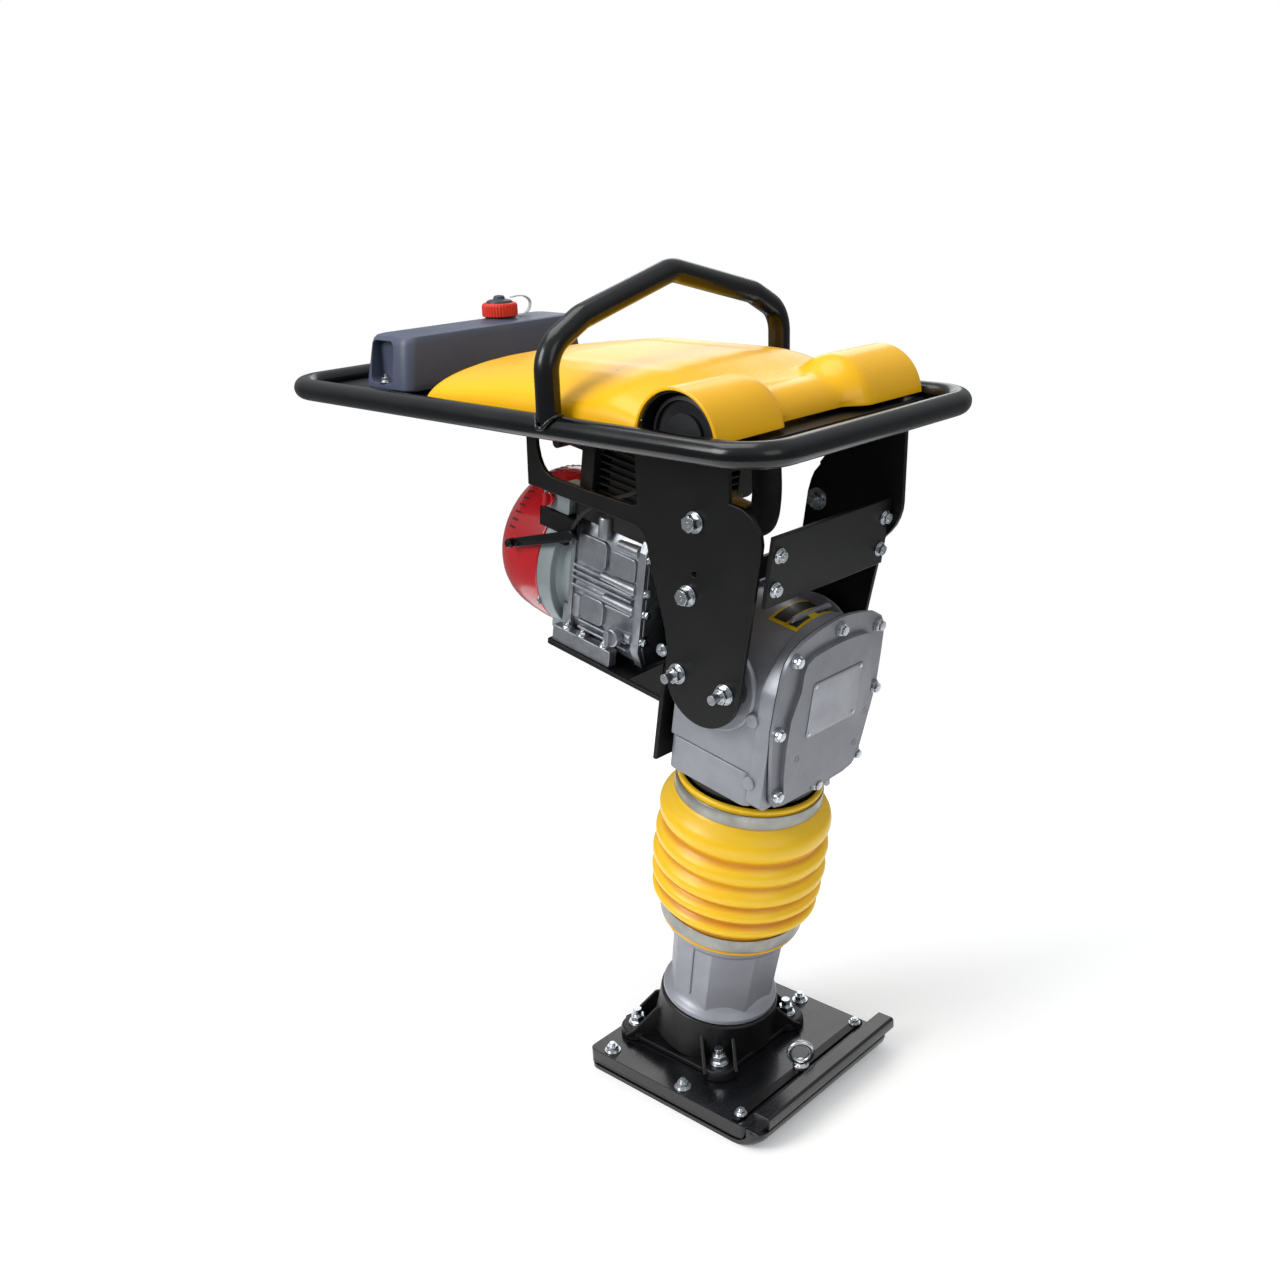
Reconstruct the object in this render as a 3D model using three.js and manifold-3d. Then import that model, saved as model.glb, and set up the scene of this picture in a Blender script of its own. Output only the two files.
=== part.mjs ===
// Jumping jack rammer. Millimetres, +Z up, +X towards the toe of the shoe.
import * as THREE from 'three';
import Module from 'manifold-3d';

const wasm = await Module();
wasm.setup();

// Driving dimensions
const LEAN = THREE.MathUtils.degToRad(11.3);    // leg leans forward
const NOSE = THREE.MathUtils.degToRad(2);       // handle frame drops towards the front
const LEG_X = -51.7;                            // where the leg axis meets the ground
const HANDLE_Z = 893.2;                         // height of the handle plane over the sole
const GAP = 0.3;                                // clearance between touching parts

const SHOE = { rear: -151.5, front: 142, half: 142.5, sole: 6, top: 28, corner: 16 };
const FLANGE = { x0: -142, x1: 46, half: 98, z: 34, hub: 80, boltX: [-122, 25], boltY: 72 };
const LEG = { bore: 58.4, foot: 50, collar: 77, top: 258, mouth: 85.2 };
const BORE = { r: 48, out: 58, s0: 100, s1: 375 };
const GUIDE = { r: 58.4, out: 64, s0: 300, s1: 462 };
const BELLOWS = { s0: 227, s1: 446, wall: 4 };
const BAND = { t: 2.4, low: [233, 252], high: [419, 438] };
const CASE = { rear: -58, front: 88, half: 95, bottom: 465, axis: 586, dome: 100, wall: 7 };
const COVER = { u0: 88.3, u1: 96, half: 104 };
const PLATE_Y = { inner: 113, outer: 119 };
const GEAR = { u0: 14, u1: 28, s: 586, teeth: 42, module: 2, throw: 26, pin: 10 };
const PINION = { s: 642, teeth: 14 };
const ROD = { u0: -9, u1: 9, wrist: 470 };
const RAIL = { u0: -570.9, u1: 225.9, y: 202.5, r: 14, corner: 48 };
const ARCH = { u: -63, r: 14, y: 205, peak: 149 };
const TANK = { u0: -466, u1: -372, half: 158, s0: 3, s1: 71 };
const CAP = { u: -420, y: 45, s: 74, r: 24 };
const HOOD = { u0: -300, u1: 50, half: 187.8, wall: 4, tunnelU: 105, tunnelR: 57, neckR: 37 };
const ENGINE = { s: 642, rear: -388, fan: [-298, -252], block: [-250, -122], r: 104 };
const BASE = { u0: -272, u1: -68, half: 105, s: 549, t: 6 };

// Materials
const paint = {
  black: { color: 0x101114, roughness: 0.35, metalness: 0.3 },
  shoe: { color: 0x17181b, roughness: 0.45, metalness: 0.3 },
  yellow: { color: 0xf8bf14, roughness: 0.3, metalness: 0 },
  rubber: { color: 0x141414, roughness: 0.8, metalness: 0 },
  bellows: { color: 0xedb820, roughness: 0.45, metalness: 0 },
  silver: { color: 0x9a9ca4, roughness: 0.45, metalness: 0.4 },
  cover: { color: 0x7b7d84, roughness: 0.45, metalness: 0.4 },
  alloy: { color: 0x9a9da3, roughness: 0.5, metalness: 0.7 },
  fanGrey: { color: 0x8c9698, roughness: 0.5, metalness: 0.2 },
  zinc: { color: 0xb8bdc2, roughness: 0.35, metalness: 0.9 },
  steel: { color: 0x8a8c90, roughness: 0.4, metalness: 0.9 },
  spring: { color: 0x55585e, roughness: 0.4, metalness: 0.9 },
  tank: { color: 0x4a5060, roughness: 0.5, metalness: 0 },
  red: { color: 0xb5151f, roughness: 0.3, metalness: 0 },
  capRed: { color: 0xd9301a, roughness: 0.45, metalness: 0 },
  insert: { color: 0x3a3e4c, roughness: 0.5, metalness: 0 },
  plate: { color: 0xa9abb0, roughness: 0.4, metalness: 0.5 },
};

// Solids: a closed body from triangles, joined by position and turned to face out
function solid(positions, triangles) {
  const index = new Map();
  const verts = [];
  const ids = positions.map((p) => {
    const key = p.map((v) => Math.round(v * 1e4)).join(',');
    if (!index.has(key)) {
      index.set(key, verts.length / 3);
      verts.push(...p);
    }
    return index.get(key);
  });
  const tris = triangles
    .map((t) => t.map((i) => ids[i]))
    .filter(([a, b, c]) => a !== b && b !== c && a !== c);
  const at = (i) => new THREE.Vector3(verts[3 * i], verts[3 * i + 1], verts[3 * i + 2]);
  const volume = tris.reduce((sum, [a, b, c]) => sum + at(a).dot(at(b).cross(at(c))), 0);
  const flat = tris.flatMap(([a, b, c]) => (volume < 0 ? [a, c, b] : [a, b, c]));
  return new wasm.Manifold(new wasm.Mesh({
    numProp: 3,
    vertProperties: new Float32Array(verts),
    triVerts: new Uint32Array(flat),
  }));
}

// Rings of points with the same count, joined in order, capped or closed on themselves
function skin(rings, loop = false) {
  const n = rings[0].length;
  const positions = rings.flat();
  const triangles = [];
  const last = loop ? rings.length : rings.length - 1;
  for (let i = 0; i < last; i += 1) {
    const a = i * n;
    const b = ((i + 1) % rings.length) * n;
    for (let j = 0; j < n; j += 1) {
      const k = (j + 1) % n;
      triangles.push([a + j, b + j, b + k], [a + j, b + k, a + k]);
    }
  }
  if (!loop) {
    const end = (rings.length - 1) * n;
    for (const [start, flip] of [[0, false], [end, true]]) {
      for (const [a, b, c] of capOf(rings[start / n])) {
        triangles.push(flip ? [start + a, start + c, start + b] : [start + a, start + b, start + c]);
      }
    }
  }
  return solid(positions, triangles);
}

// Triangles of a flat ring of points, seen along its own normal
function capOf(ring) {
  const pts = ring.map((p) => new THREE.Vector3(...p));
  const normal = new THREE.Vector3();
  pts.forEach((p, i) => normal.add(p.clone().cross(pts[(i + 1) % pts.length])));
  normal.normalize();
  const q = new THREE.Quaternion().setFromUnitVectors(normal, new THREE.Vector3(0, 0, 1));
  const flat = pts.map((p) => p.applyQuaternion(q)).map((p) => new THREE.Vector2(p.x, p.y));
  return THREE.ShapeUtils.triangulateShape(flat, []);
}

// Flat outline pushed along an axis; the outline is given in the two other coordinates
function prism(outline, axis, lo, hi) {
  const place = {
    x: ([a, b], t) => [t, a, b],
    y: ([a, b], t) => [a, t, b],
    z: ([a, b], t) => [a, b, t],
  }[axis];
  return skin([outline.map((p) => place(p, lo)), outline.map((p) => place(p, hi))]);
}

function box(x0, x1, y0, y1, z0, z1) {
  return prism([[x0, y0], [x1, y0], [x1, y1], [x0, y1]], 'z', z0, z1);
}

function arc(cx, cy, r, from, to, steps) {
  return Array.from({ length: steps + 1 }, (_, i) => {
    const a = THREE.MathUtils.degToRad(from + ((to - from) * i) / steps);
    return [cx + r * Math.cos(a), cy + r * Math.sin(a)];
  });
}

function circle(cx, cy, r, steps = 24) {
  return arc(cx, cy, r, 0, 360, steps).slice(0, -1);
}

function roundBox(x0, x1, y0, y1, r, steps = 4) {
  return [
    ...arc(x1 - r, y1 - r, r, 0, 90, steps), ...arc(x0 + r, y1 - r, r, 90, 180, steps),
    ...arc(x0 + r, y0 + r, r, 180, 270, steps), ...arc(x1 - r, y0 + r, r, 270, 360, steps),
  ];
}

function disc(axis, a, b, r, lo, hi, steps = 24) {
  return prism(circle(a, b, r, steps), axis, lo, hi);
}

// Closed profile of [radius, position] pairs turned about an axis through (a, b)
function turned(profile, axis, a = 0, b = 0, steps = 32) {
  const place = {
    x: (c, s, t) => [t, a + c, b + s],
    y: (c, s, t) => [a + c, t, b + s],
    z: (c, s, t) => [a + c, b + s, t],
  }[axis];
  const rings = Array.from({ length: steps }, (_, i) => {
    const w = (2 * Math.PI * i) / steps;
    return profile.map(([r, t]) => place(r * Math.cos(w), r * Math.sin(w), t));
  });
  return skin(rings, true);
}

// Round bar along a path; side is a direction that is never along the path
function bar(points, radius, side, loop = false, sides = 16) {
  const path = points.map((p) => new THREE.Vector3(...p));
  const n = path.length;
  const rings = path.map((p, i) => {
    const before = path[loop ? (i + n - 1) % n : Math.max(i - 1, 0)];
    const after = path[loop ? (i + 1) % n : Math.min(i + 1, n - 1)];
    const along = after.clone().sub(before).normalize();
    const hint = typeof side === 'function' ? side(p) : new THREE.Vector3(...side);
    const across = new THREE.Vector3().crossVectors(hint, along).normalize();
    const up = new THREE.Vector3().crossVectors(along, across);
    return Array.from({ length: sides }, (_, j) => {
      const w = (2 * Math.PI * j) / sides;
      return p.clone().addScaledVector(across, radius * Math.cos(w))
        .addScaledVector(up, radius * Math.sin(w)).toArray();
    });
  });
  return skin(rings, loop);
}

function join(first, ...rest) {
  return rest.reduce((sum, s) => sum.add(s), first);
}

function cut(first, ...rest) {
  return rest.reduce((sum, s) => sum.subtract(s), first);
}

function node(parent, name, shape, look) {
  const mesh = shape.getMesh();
  const geometry = new THREE.BufferGeometry();
  const stride = mesh.numProp;
  const flat = new Float32Array(mesh.triVerts.length * 3);
  mesh.triVerts.forEach((v, i) => {
    for (let k = 0; k < 3; k += 1) flat[3 * i + k] = mesh.vertProperties[stride * v + k];
  });
  geometry.setAttribute('position', new THREE.BufferAttribute(flat, 3));
  geometry.computeVertexNormals();
  const item = new THREE.Mesh(geometry, new THREE.MeshStandardMaterial(paint[look]));
  item.name = name;
  parent.add(item);
}

// Leg coordinates (u, s) to handle coordinates
function toHandle([u, s]) {
  const x = LEG_X + u * Math.cos(LEAN) + s * Math.sin(LEAN);
  const z = -u * Math.sin(LEAN) + s * Math.cos(LEAN) - HANDLE_Z;
  return [x * Math.cos(NOSE) - z * Math.sin(NOSE), x * Math.sin(NOSE) + z * Math.cos(NOSE)];
}

const ground = new THREE.Group();
ground.name = 'rammer';
const leg = new THREE.Group();
leg.name = 'leg_frame';
leg.position.set(LEG_X, 0, 0);
leg.rotation.y = LEAN;
const handle = new THREE.Group();
handle.name = 'handle_frame';
handle.position.set(0, 0, HANDLE_Z);
handle.rotation.y = NOSE;
ground.add(leg, handle);

// A leg-frame solid moved into the ground frame
function onGround(shape) {
  return shape.rotate([0, THREE.MathUtils.radToDeg(LEAN), 0]).translate([LEG_X, 0, 0]);
}

// Shoe
function solePlate() {
  const { rear, front, half, sole } = SHOE;
  const outline = [
    [rear, 0], [104, 0], [122, 2], [136, 8], [front + 4, 17], [front + 6, 26],
    [front + 1, 27.4], [front - 3, 21], [130, 13], [118, 8], [104, sole], [rear, sole],
  ];
  return prism(outline, 'y', -half, half).intersect(shoeOutline(rear, 190, half));
}

function shoeOutline(x0, x1, half) {
  return prism(roundBox(x0, x1, -half, half, SHOE.corner), 'z', -1, 60);
}

function shoeCore() {
  const { rear, half, sole, top } = SHOE;
  const outline = [
    [rear + 1.5, sole + GAP], [104, sole + GAP], [117, 8.8], [124, 12], [124, top], [rear + 1.5, top],
  ];
  return prism(outline, 'y', 1.5 - half, half - 1.5).intersect(shoeOutline(rear + 1.5, 190, half - 1.5));
}

function toeBar() {
  const outline = [
    [124.6, 13], [132, 16], [138, 22.5], [142, 28.4], [149.5, 29], [151, 32], [150.5, 44], [148.5, 46],
    [127, 45.6], [124.6, 43.4],
  ];
  return prism(outline, 'y', -126, 150);
}

function toeStrip() {
  return cut(
    prism(roundBox(97, 109, -136, 136, 3), 'z', SHOE.top + GAP, 31),
    ...[-124, 124].map((y) => disc('z', 103, y, 4.5, 20, 40, 16)),
  );
}

function footFlange() {
  const { x0, x1, half, z, hub, boltX, boltY } = FLANGE;
  const mid = (x0 + x1) / 2;
  let base = join(
    prism(roundBox(x0 + 10, x1 - 10, 12 - half, half - 12, 26), 'z', SHOE.top + GAP, z),
    ...boltX.flatMap((x) => [-boltY, boltY].map((y) => disc('z', x, y, 23, SHOE.top + GAP, 42, 24))),
  );
  const ribs = boltX.flatMap((x) => [-boltY, boltY].map((y) => {
    const side = Math.sign(y);
    const lean = Math.sign(x - mid);
    const pts = [[x - lean * 24, z - 1], [x + lean * 14, z - 1], [x - lean * 24, 66]];
    return prism(pts, 'y', side * (boltY - 20) - 3, side * (boltY - 20) + 3);
  }));
  base = join(base, ...ribs, onGround(disc('z', 0, 0, hub, 24, 99.6, 32)));
  base = cut(base, box(-200, 200, -200, 200, -60, SHOE.top + GAP));
  const holes = boltX.flatMap((x) => [-boltY, boltY].map((y) => disc('z', x, y, 8, 0, 90, 16)));
  return cut(base, ...holes, onGround(disc('z', 0, 0, LEG.collar - 4, LEG.foot - GAP, 200, 32)));
}

function footBolt(x, y) {
  return join(
    disc('z', x, y, 12.5, 42.3, 45, 24),
    disc('z', x, y, 10, 45, 55, 6),
    disc('z', x, y, 6, SHOE.top + GAP, 65, 16),
  );
}

function eyeBolt() {
  const ring = Array.from({ length: 28 }, (_, i) => {
    const w = (2 * Math.PI * i) / 28;
    const across = 14.6 * Math.cos(w) * Math.SQRT1_2;
    return [104 + across, across, 53 + 14.6 * Math.sin(w)];
  });
  return join(
    bar(ring, 3.8, [1, -1, 0], true, 10),
    disc('z', 104, 0, 11, 31.3, 36, 20),
    disc('z', 104, 0, 6, 35, 41, 16),
  );
}

// Leg
function legTube() {
  const { bore, foot, collar, top, mouth } = LEG;
  const outer = [
    [bore, foot], [collar - 4.4, foot], [collar - 4.4, 100], [collar, 100], [collar, 108],
    [75, 115], [70, 126], [66, 134], [64.5, 140], [64.5, 205], [80, 214], [mouth, 220],
    [mouth, top], [80, top], [bore, 250],
  ];
  const tube = turned(outer, 'z', 0, 0, 40);
  const eight = (r, z) => Array.from({ length: 8 }, (_, i) => {
    const w = THREE.MathUtils.degToRad(22.5 + 45 * i);
    return [r * Math.cos(w), r * Math.sin(w), z];
  });
  const faceted = cut(skin([eight(71, 112), eight(76, 218)]), disc('z', 0, 0, 61, 100, 230, 40));
  const seam = [[62, 128], [69, 134], [73, 216], [62, 216]];
  return join(tube, faceted, ...[90, -90].map((a) => prism(seam, 'y', -1.6, 1.6).rotate([0, 0, a])));
}

function springTube() {
  const { r, out, s0, s1 } = BORE;
  return turned([[0, s0 - 12], [out, s0 - 12], [out, s1], [24, s1], [24, s1 - 8], [r, s1 - 8], [r, s0], [0, s0]], 'z');
}

function guideTube() {
  const { r, out, s0, s1 } = GUIDE;
  return turned([[r, s0], [out, s0], [out, s1 - 8], [82, s1 - 8], [82, s1], [47, s1], [47, 445], [r, 445]], 'z');
}

function bellowsProfile() {
  return [
    [89.7, 227], [91, 229], [91, 254], [94, 260], [101, 265], [107, 270], [107.5, 275], [102.5, 283.5],
    [108.5, 291], [110.5, 296], [108.5, 301], [104, 309], [110, 317], [112, 325], [110, 332], [104.5, 340],
    [109, 349], [111, 357], [109, 364], [103.5, 373], [107, 382], [109.5, 392], [107.5, 403], [101, 412],
    [91, 417.5], [91, 440], [90, 446],
  ];
}

function bellowsSkin() {
  const outer = bellowsProfile();
  const { s0, s1, wall } = BELLOWS;
  const inner = [[90 - wall, s1], [90 - wall, 418], [98, 404], [98, 266], [90 - wall, 256], [90 - wall, s0]];
  return turned([...outer, ...inner], 'z', 0, 0, 36);
}

function clamp([s0, s1]) {
  const r = 91 + GAP;
  const ring = turned([[r, s0], [r + BAND.t, s0], [r + BAND.t, s1], [r, s1]], 'z', 0, 0, 36);
  const mid = (s0 + s1) / 2;
  const lug = cut(box(-9, 9, -r - 12, -r - 1, mid - 8, mid + 8), disc('z', 0, 0, r, s0 - 5, s1 + 5, 36));
  return join(ring, lug);
}

function helix(radius, wire, s0, s1, turns) {
  const steps = turns * 12;
  const pts = Array.from({ length: steps + 1 }, (_, i) => {
    const w = (2 * Math.PI * i) / 12;
    const s = s0 + wire + ((s1 - s0 - 2 * wire) * i) / steps;
    return [radius * Math.cos(w), radius * Math.sin(w), s];
  });
  return bar(pts, wire, (p) => new THREE.Vector3(p.x, p.y, 0), false, 6);
}

function piston() {
  const { wrist } = ROD;
  const earS = wrist - 8;
  const rod = turned([[0, 190], [47, 190], [47, 206], [18, 206], [18, 440], [0, 440]], 'z', 0, 0, 28);
    const ears = [ROD.u0 - 9, ROD.u1 + 1].map((u) => prism(
    [[-14, 440], [14, 440], [14, earS + 8], [10, earS + 18], [-10, earS + 18], [-14, earS + 8]], 'x', u, u + 8));
  return join(rod, prism(roundBox(-20, 20, -20, 20, 6), 'z', 428, 441), ...ears);
}

// Gear train
function toothed(teeth, module, axis, s, lo, hi, shift = 0) {
  const root = (teeth * module) / 2 - 2.3;
  const tip = (teeth * module) / 2 + 1.5;
  const pitch = 360 / teeth;
  const outline = Array.from({ length: teeth }, (_, i) => {
    const mid = i * pitch + shift;
    return [[root, -0.3], [tip, -0.1], [tip, 0.1], [root, 0.3]].map(([r, k]) => {
      const a = THREE.MathUtils.degToRad(mid + k * pitch);
      return [r * Math.cos(a), s + r * Math.sin(a)];
    });
  }).flat();
  return prism(outline, axis, lo, hi);
}

function crankGear() {
  const { u0, u1, s, teeth, module } = GEAR;
  const pinS = s - GEAR.throw;
  return cut(
    join(toothed(teeth, module, 'x', s, u0, u1, 90 + 180 / teeth),
      disc('x', 0, s, 20, u1 - 1, 80, 24), disc('x', 0, pinS, GEAR.pin, -12, u0 + 1, 24)),
    ...[30, 90, 150].map((a) => {
      const w = THREE.MathUtils.degToRad(a);
      return disc('x', 29 * Math.cos(w), s + 29 * Math.sin(w), 6, u0 - 5, u1 + 1, 20);
    }),
  );
}

function pinionShaft() {
  return join(
    toothed(PINION.teeth, GEAR.module, 'x', PINION.s, GEAR.u0 - 2, GEAR.u1 + 2, -90),
    disc('x', 0, PINION.s, 9, -112, GEAR.u1 + 6, 20),
  );
}

function conRod() {
  const { u0, u1, wrist } = ROD;
  const top = GEAR.s - GEAR.throw;
  const shank = prism([[-9, wrist], [9, wrist], [13, top], [-13, top]], 'x', u0 + 3, u1 - 3);
  const body = join(shank, disc('x', 0, wrist, 13, u0, u1, 24), disc('x', 0, top, 18, u0, u1, 32));
  return cut(body, disc('x', 0, wrist, 6, u0 - 1, u1 + 1, 20), disc('x', 0, top, GEAR.pin + 0.4, u0 - 1, u1 + 1, 24));
}

function shaftBearing() {
  return turned([[9.4, -66], [20, -66], [20, -50], [9.4, -50]], 'x', 0, PINION.s, 28);
}

// Drive case
function caseOutline(half, bottom, dome, trim) {
  const lift = dome * Math.sin(THREE.MathUtils.degToRad(8));
  return [
    [-half + trim, bottom], [half - trim, bottom], [half, bottom + trim * 1.4], [half, CASE.axis + lift],
    ...arc(0, CASE.axis, dome, 18, 162, 18), [-half, CASE.axis + lift], [-half, bottom + trim * 1.4],
  ];
}

function driveCase() {
  const { rear, front, half, bottom, axis, dome, wall } = CASE;
  const foot = prism(roundBox(rear + 4, front - 2, -half + 3, half - 3, 18), 'z', bottom, 512);
  const body = join(prism(caseOutline(half, 505, dome, 4), 'x', rear, front), foot);
  const room = prism(caseOutline(half - wall, 478, dome - wall, 8), 'x', rear + wall, front + 5);
  const bosses = [-1, 1].flatMap((side) => [
    disc('y', 0, 606, 58, side * (half - 1), side * (half + 4), 48),
  ]);
  const shell = cut(join(body, ...bosses), room, disc('z', 0, 0, 46, 440, 500, 32));
  return cut(shell, disc('x', 0, PINION.s, 20.3, rear - 2, rear + wall + 2, 28));
}

function coverOutline(grow = 0) {
  const half = [
    [62, 469], [80, 474], [88, 484], [96, 530], [102, 578], [99, 640], [95, 664], [84, 678], [60, 690], [30, 696],
  ];
  const centre = [0, 585];
  const right = half.map(([y, s]) => [y + (grow * Math.sign(y)), s + (grow * (s - centre[1])) / 110]);
  return [...right, ...right.map(([y, s]) => [-y, s]).reverse()];
}

function caseCover() {
  const rim = prism(coverOutline(), 'x', COVER.u0, COVER.u1 - 2);
  const face = prism(coverOutline(-7), 'x', COVER.u1 - 3, COVER.u1);
  const panel = prism([[-56, 486], [56, 486], [70, 530], [76, 590], [68, 646], [46, 664], [-46, 664], [-68, 646],
    [-76, 590], [-70, 530]], 'x', COVER.u1 - 1, COVER.u1 + 4);
  return join(rim, face, panel);
}

function ratingPlate() {
  return prism(roundBox(-50, 52, 556, 630, 4), 'x', COVER.u1 + 4.3, COVER.u1 + 5.3);
}

// Side frames
function nearPlateOutline() {
  const strap = arc(-2, 609, 55, 0, -180, 16).map(toHandle);
  return [
    [-1, -9], [-198, -9], [-200, -98], toHandle([-283, 758]), toHandle([-126, 762]), toHandle([-108, 752]),
    [-1, -155], toHandle([-66, 655]), ...strap.reverse(), toHandle([55, 745]), toHandle([55, 798]),
    toHandle([50, 811]), toHandle([40, 822]), toHandle([23, 830]), [119, -76], [119, -9],
  ];
}

function nearPlate() {
  const { inner, outer } = PLATE_Y;
  const sheet = prism(nearPlateOutline(), 'y', -outer, -inner);
  const window = [[-181, -30], [-178, -62], [-168, -78], [-150, -84], [-96, -92], [-18, -98], [-18, -30]];
  return cut(sheet, prism(window, 'y', -outer - 2, -inner + 2));
}

function farPlateOutline() {
  const strap = arc(-2, 609, 55, 0, -180, 16).map(toHandle);
  return [
    [190, -9], [188, -116], [183, -134], [174, -148], [162, -160], ...strap,
    toHandle([-54, 721]), toHandle([-54, 780]), toHandle([-50, 801]), toHandle([-42, 817]), [80, -68], [80, -9],
  ];
}

function farPlate() {
  return prism(farPlateOutline(), 'y', PLATE_Y.inner, PLATE_Y.outer);
}

function crossPlate() {
  const sheet = prism([[60.5, 725], [66.5, 725], [66.5, 810], [60.5, 810]], 'y', -112.5, 112.5);
  return cut(sheet, ...[-100, 100].flatMap((y) => [747, 787].map((s) => disc('x', y, s, 5, 50, 80, 16))));
}

function rubberMount(u, s, side) {
  const lo = side * (CASE.half + 4 + GAP);
  const hi = side * (PLATE_Y.inner - GAP);
  return disc('y', u, s, 18, Math.min(lo, hi), Math.max(lo, hi), 28);
}

function engineBase() {
  const { u0, u1, half, s, t } = BASE;
  const deck = box(u0, u1, -half, half, s, s + t);
  const lip = box(u1 - t, u1, -half, half, 470, 700);
  const bore = disc('x', 0, PINION.s, 48, u1 - t - 3, u1 + 3, 40);
  const web = prism([[u1 - t, s], [u1 - 60, s], [u1 - t, 600]], 'y', half - 5, half);
  const webNear = prism([[u1 - t, s], [u1 - 60, s], [u1 - t, 600]], 'y', -half, 5 - half);
  return cut(join(deck, lip, web, webNear), bore);
}

// Handle
function railPath() {
  const { u0, u1, y, corner } = RAIL;
  return roundBox(u0, u1, -y, y, corner, 6).map(([u, v]) => [u, v, 0]);
}

function archPath() {
  const { u, y, peak } = ARCH;
  const half = [[y, 0], [y, 50], [y - 4, 70], [y - 14, 86], [y - 32, 99], [146, 114], [24, 146], [8, 148.6]];
  const near = half.map(([v, s]) => [u, -v, s]);
  const far = half.map(([v, s]) => [u, v, s]).reverse();
  return [...near, [u, 0, peak], ...far];
}

function liftArch() {
  return cut(bar(archPath(), ARCH.r, [1, 0, 0], false, 14), bar(railPath(), RAIL.r + GAP, [0, 0, 1], true, 14));
}

function deckSheet(u0, u1, corner, holes) {
  const side = RAIL.y - RAIL.r - 0.5;
  const sheet = prism(roundBox(u0, u1, -side, side, corner), 'z', -6, -2);
  return holes.length ? cut(sheet, ...holes) : sheet;
}

// Tank and cap
function tankBody() {
  const { u0, u1, half, s0, s1 } = TANK;
  const level = (inset, s) => roundBox(u0 + inset, u1 - inset * 0.5, inset - half, half - inset, 14)
    .map(([u, y]) => [u, y, s]);
  const shell = skin([level(0, s0), level(1, s0 + 10), level(8, s1 - 8), level(14, s1)]);
  const ends = [-1, 1].map((side) => prism(roundBox(-448, -402, 12, s1 - 10, 8), 'y',
    Math.min(side * half, side * (half - 14)) - 2, Math.max(side * half, side * (half - 14)) + 2));
  const neck = disc('z', CAP.u, CAP.y, 20, s1 - 2, CAP.s - GAP, 28);
  const lug = (y) => prism(roundBox(-440, -410, y - 8, y + 8, 4), 'z', s0, 12);
  return join(cut(shell, ...ends), neck, lug(-half + 8), lug(half - 8));
}

function capRing() {
  const { u, y, s, r } = CAP;
  const ring = turned([[18.4, s + 3], [r, s], [r, s + 16], [r - 2, s + 19], [18.4, s + 19]], 'z', u, y, 36);
  return ring;
}

function capInsert() {
  const { u, y, s } = CAP;
  return join(disc('z', u, y, 18, s + GAP, s + 22, 28), disc('z', u, y, 7, s + 21, s + 27, 20));
}

function capStrap() {
  const { u, y, s } = CAP;
  const pts = arc(u + 4, 0, 1, 0, 0, 0).map(() => [u, y + 25.6, s + 17]);
  const path = [...pts, [u, y + 36, s + 20], [u, y + 46, s + 16], [u, y + 48, s + 6], [u, y + 40, s + 0.2],
    [u, y + 30, s + 0.2]];
  return bar(path, 1.6, [1, 0, 0], false, 8);
}

// Hood: a shell open at the bottom, with two half-round tunnels across the front
function hoodBody(shrink) {
  const { u0, u1, half, tunnelU, tunnelR, neckR } = HOOD;
  const arch = [[187.8, 8], [187.4, 18], [182, 29], [163, 41], [115, 53], [60, 59], [0, 61]];
  const section = (u, lift) => {
    const pts = arch.map(([y, s]) => [Math.max(y - shrink, 0), Math.max(s * lift - (s > 8 ? shrink : 0), 4)]);
    const left = pts.slice(0, -1).map(([y, s]) => [u, -y, s]).reverse();
    return [[u, half - shrink, -2], ...pts.map(([y, s]) => [u, y, s]), ...left, [u, shrink - half, -2]];
  };
  const start = u0 + shrink;
  const body = skin([section(start, 0.8), section(start + 60, 0.93), section(start + 140, 1),
    section(u1, 1), section(tunnelU - 10, 0.55)]);
  const tunnels = [-1, 1].map((side) => skin([[66, neckR + 6], [80, tunnelR], [half, tunnelR]]
    .map(([y, r]) => arc(tunnelU, 0, r - shrink, 0, 180, 20)
      .concat([[tunnelU - r + shrink, -2], [tunnelU + r - shrink, -2]])
      .map(([u, s]) => [u, side * (y + (y === half ? shrink * 0.5 : 0)), s]))));
  const neck = prism(arc(tunnelU, 0, neckR - shrink, 0, 180, 16)
    .concat([[tunnelU - neckR, -2], [tunnelU + neckR - shrink, -2]]), 'y', -70, 70);
  return join(body, ...tunnels, neck);
}

function hood() {
  const floor = box(-400, 300, -300, 300, -20, 4);
  return cut(hoodBody(0), hoodBody(HOOD.wall), floor);
}

function filterCan(side) {
  const lo = side * 96;
  const hi = side * 178;
  const can = disc('y', HOOD.tunnelU, 5, 44, Math.min(lo, hi), Math.max(lo, hi), 36);
  return can.intersect(box(0, 200, -200, 200, -2 + GAP, 60));
}

// Engine
function engineBlock() {
  const [u0, u1] = ENGINE.block;
  const body = prism([[-88, 566], [88, 566], [94, 590], [94, 720], [76, 742], [-76, 742], [-94, 720], [-94, 590]],
    'x', u0, u1);
  const ribs = [-1, 1].flatMap((side) => Array.from({ length: 8 }, (_, i) => {
    const s = 606 + 15 * i;
    return box(u0 + 8, u1 - 8, side > 0 ? 93 : -99, side > 0 ? 99 : -93, s, s + 5);
  }));
  const feet = [-1, 1].map((side) => box(u0 - 16, -163, side > 0 ? 87 : -101, side > 0 ? 101 : -87,
    BASE.s + BASE.t + GAP, 577));
  const bore = disc('x', 0, ENGINE.s, 16, u0 - 2, u1 + 2, 28);
  return cut(join(body, ...ribs, ...feet), bore);
}

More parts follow.
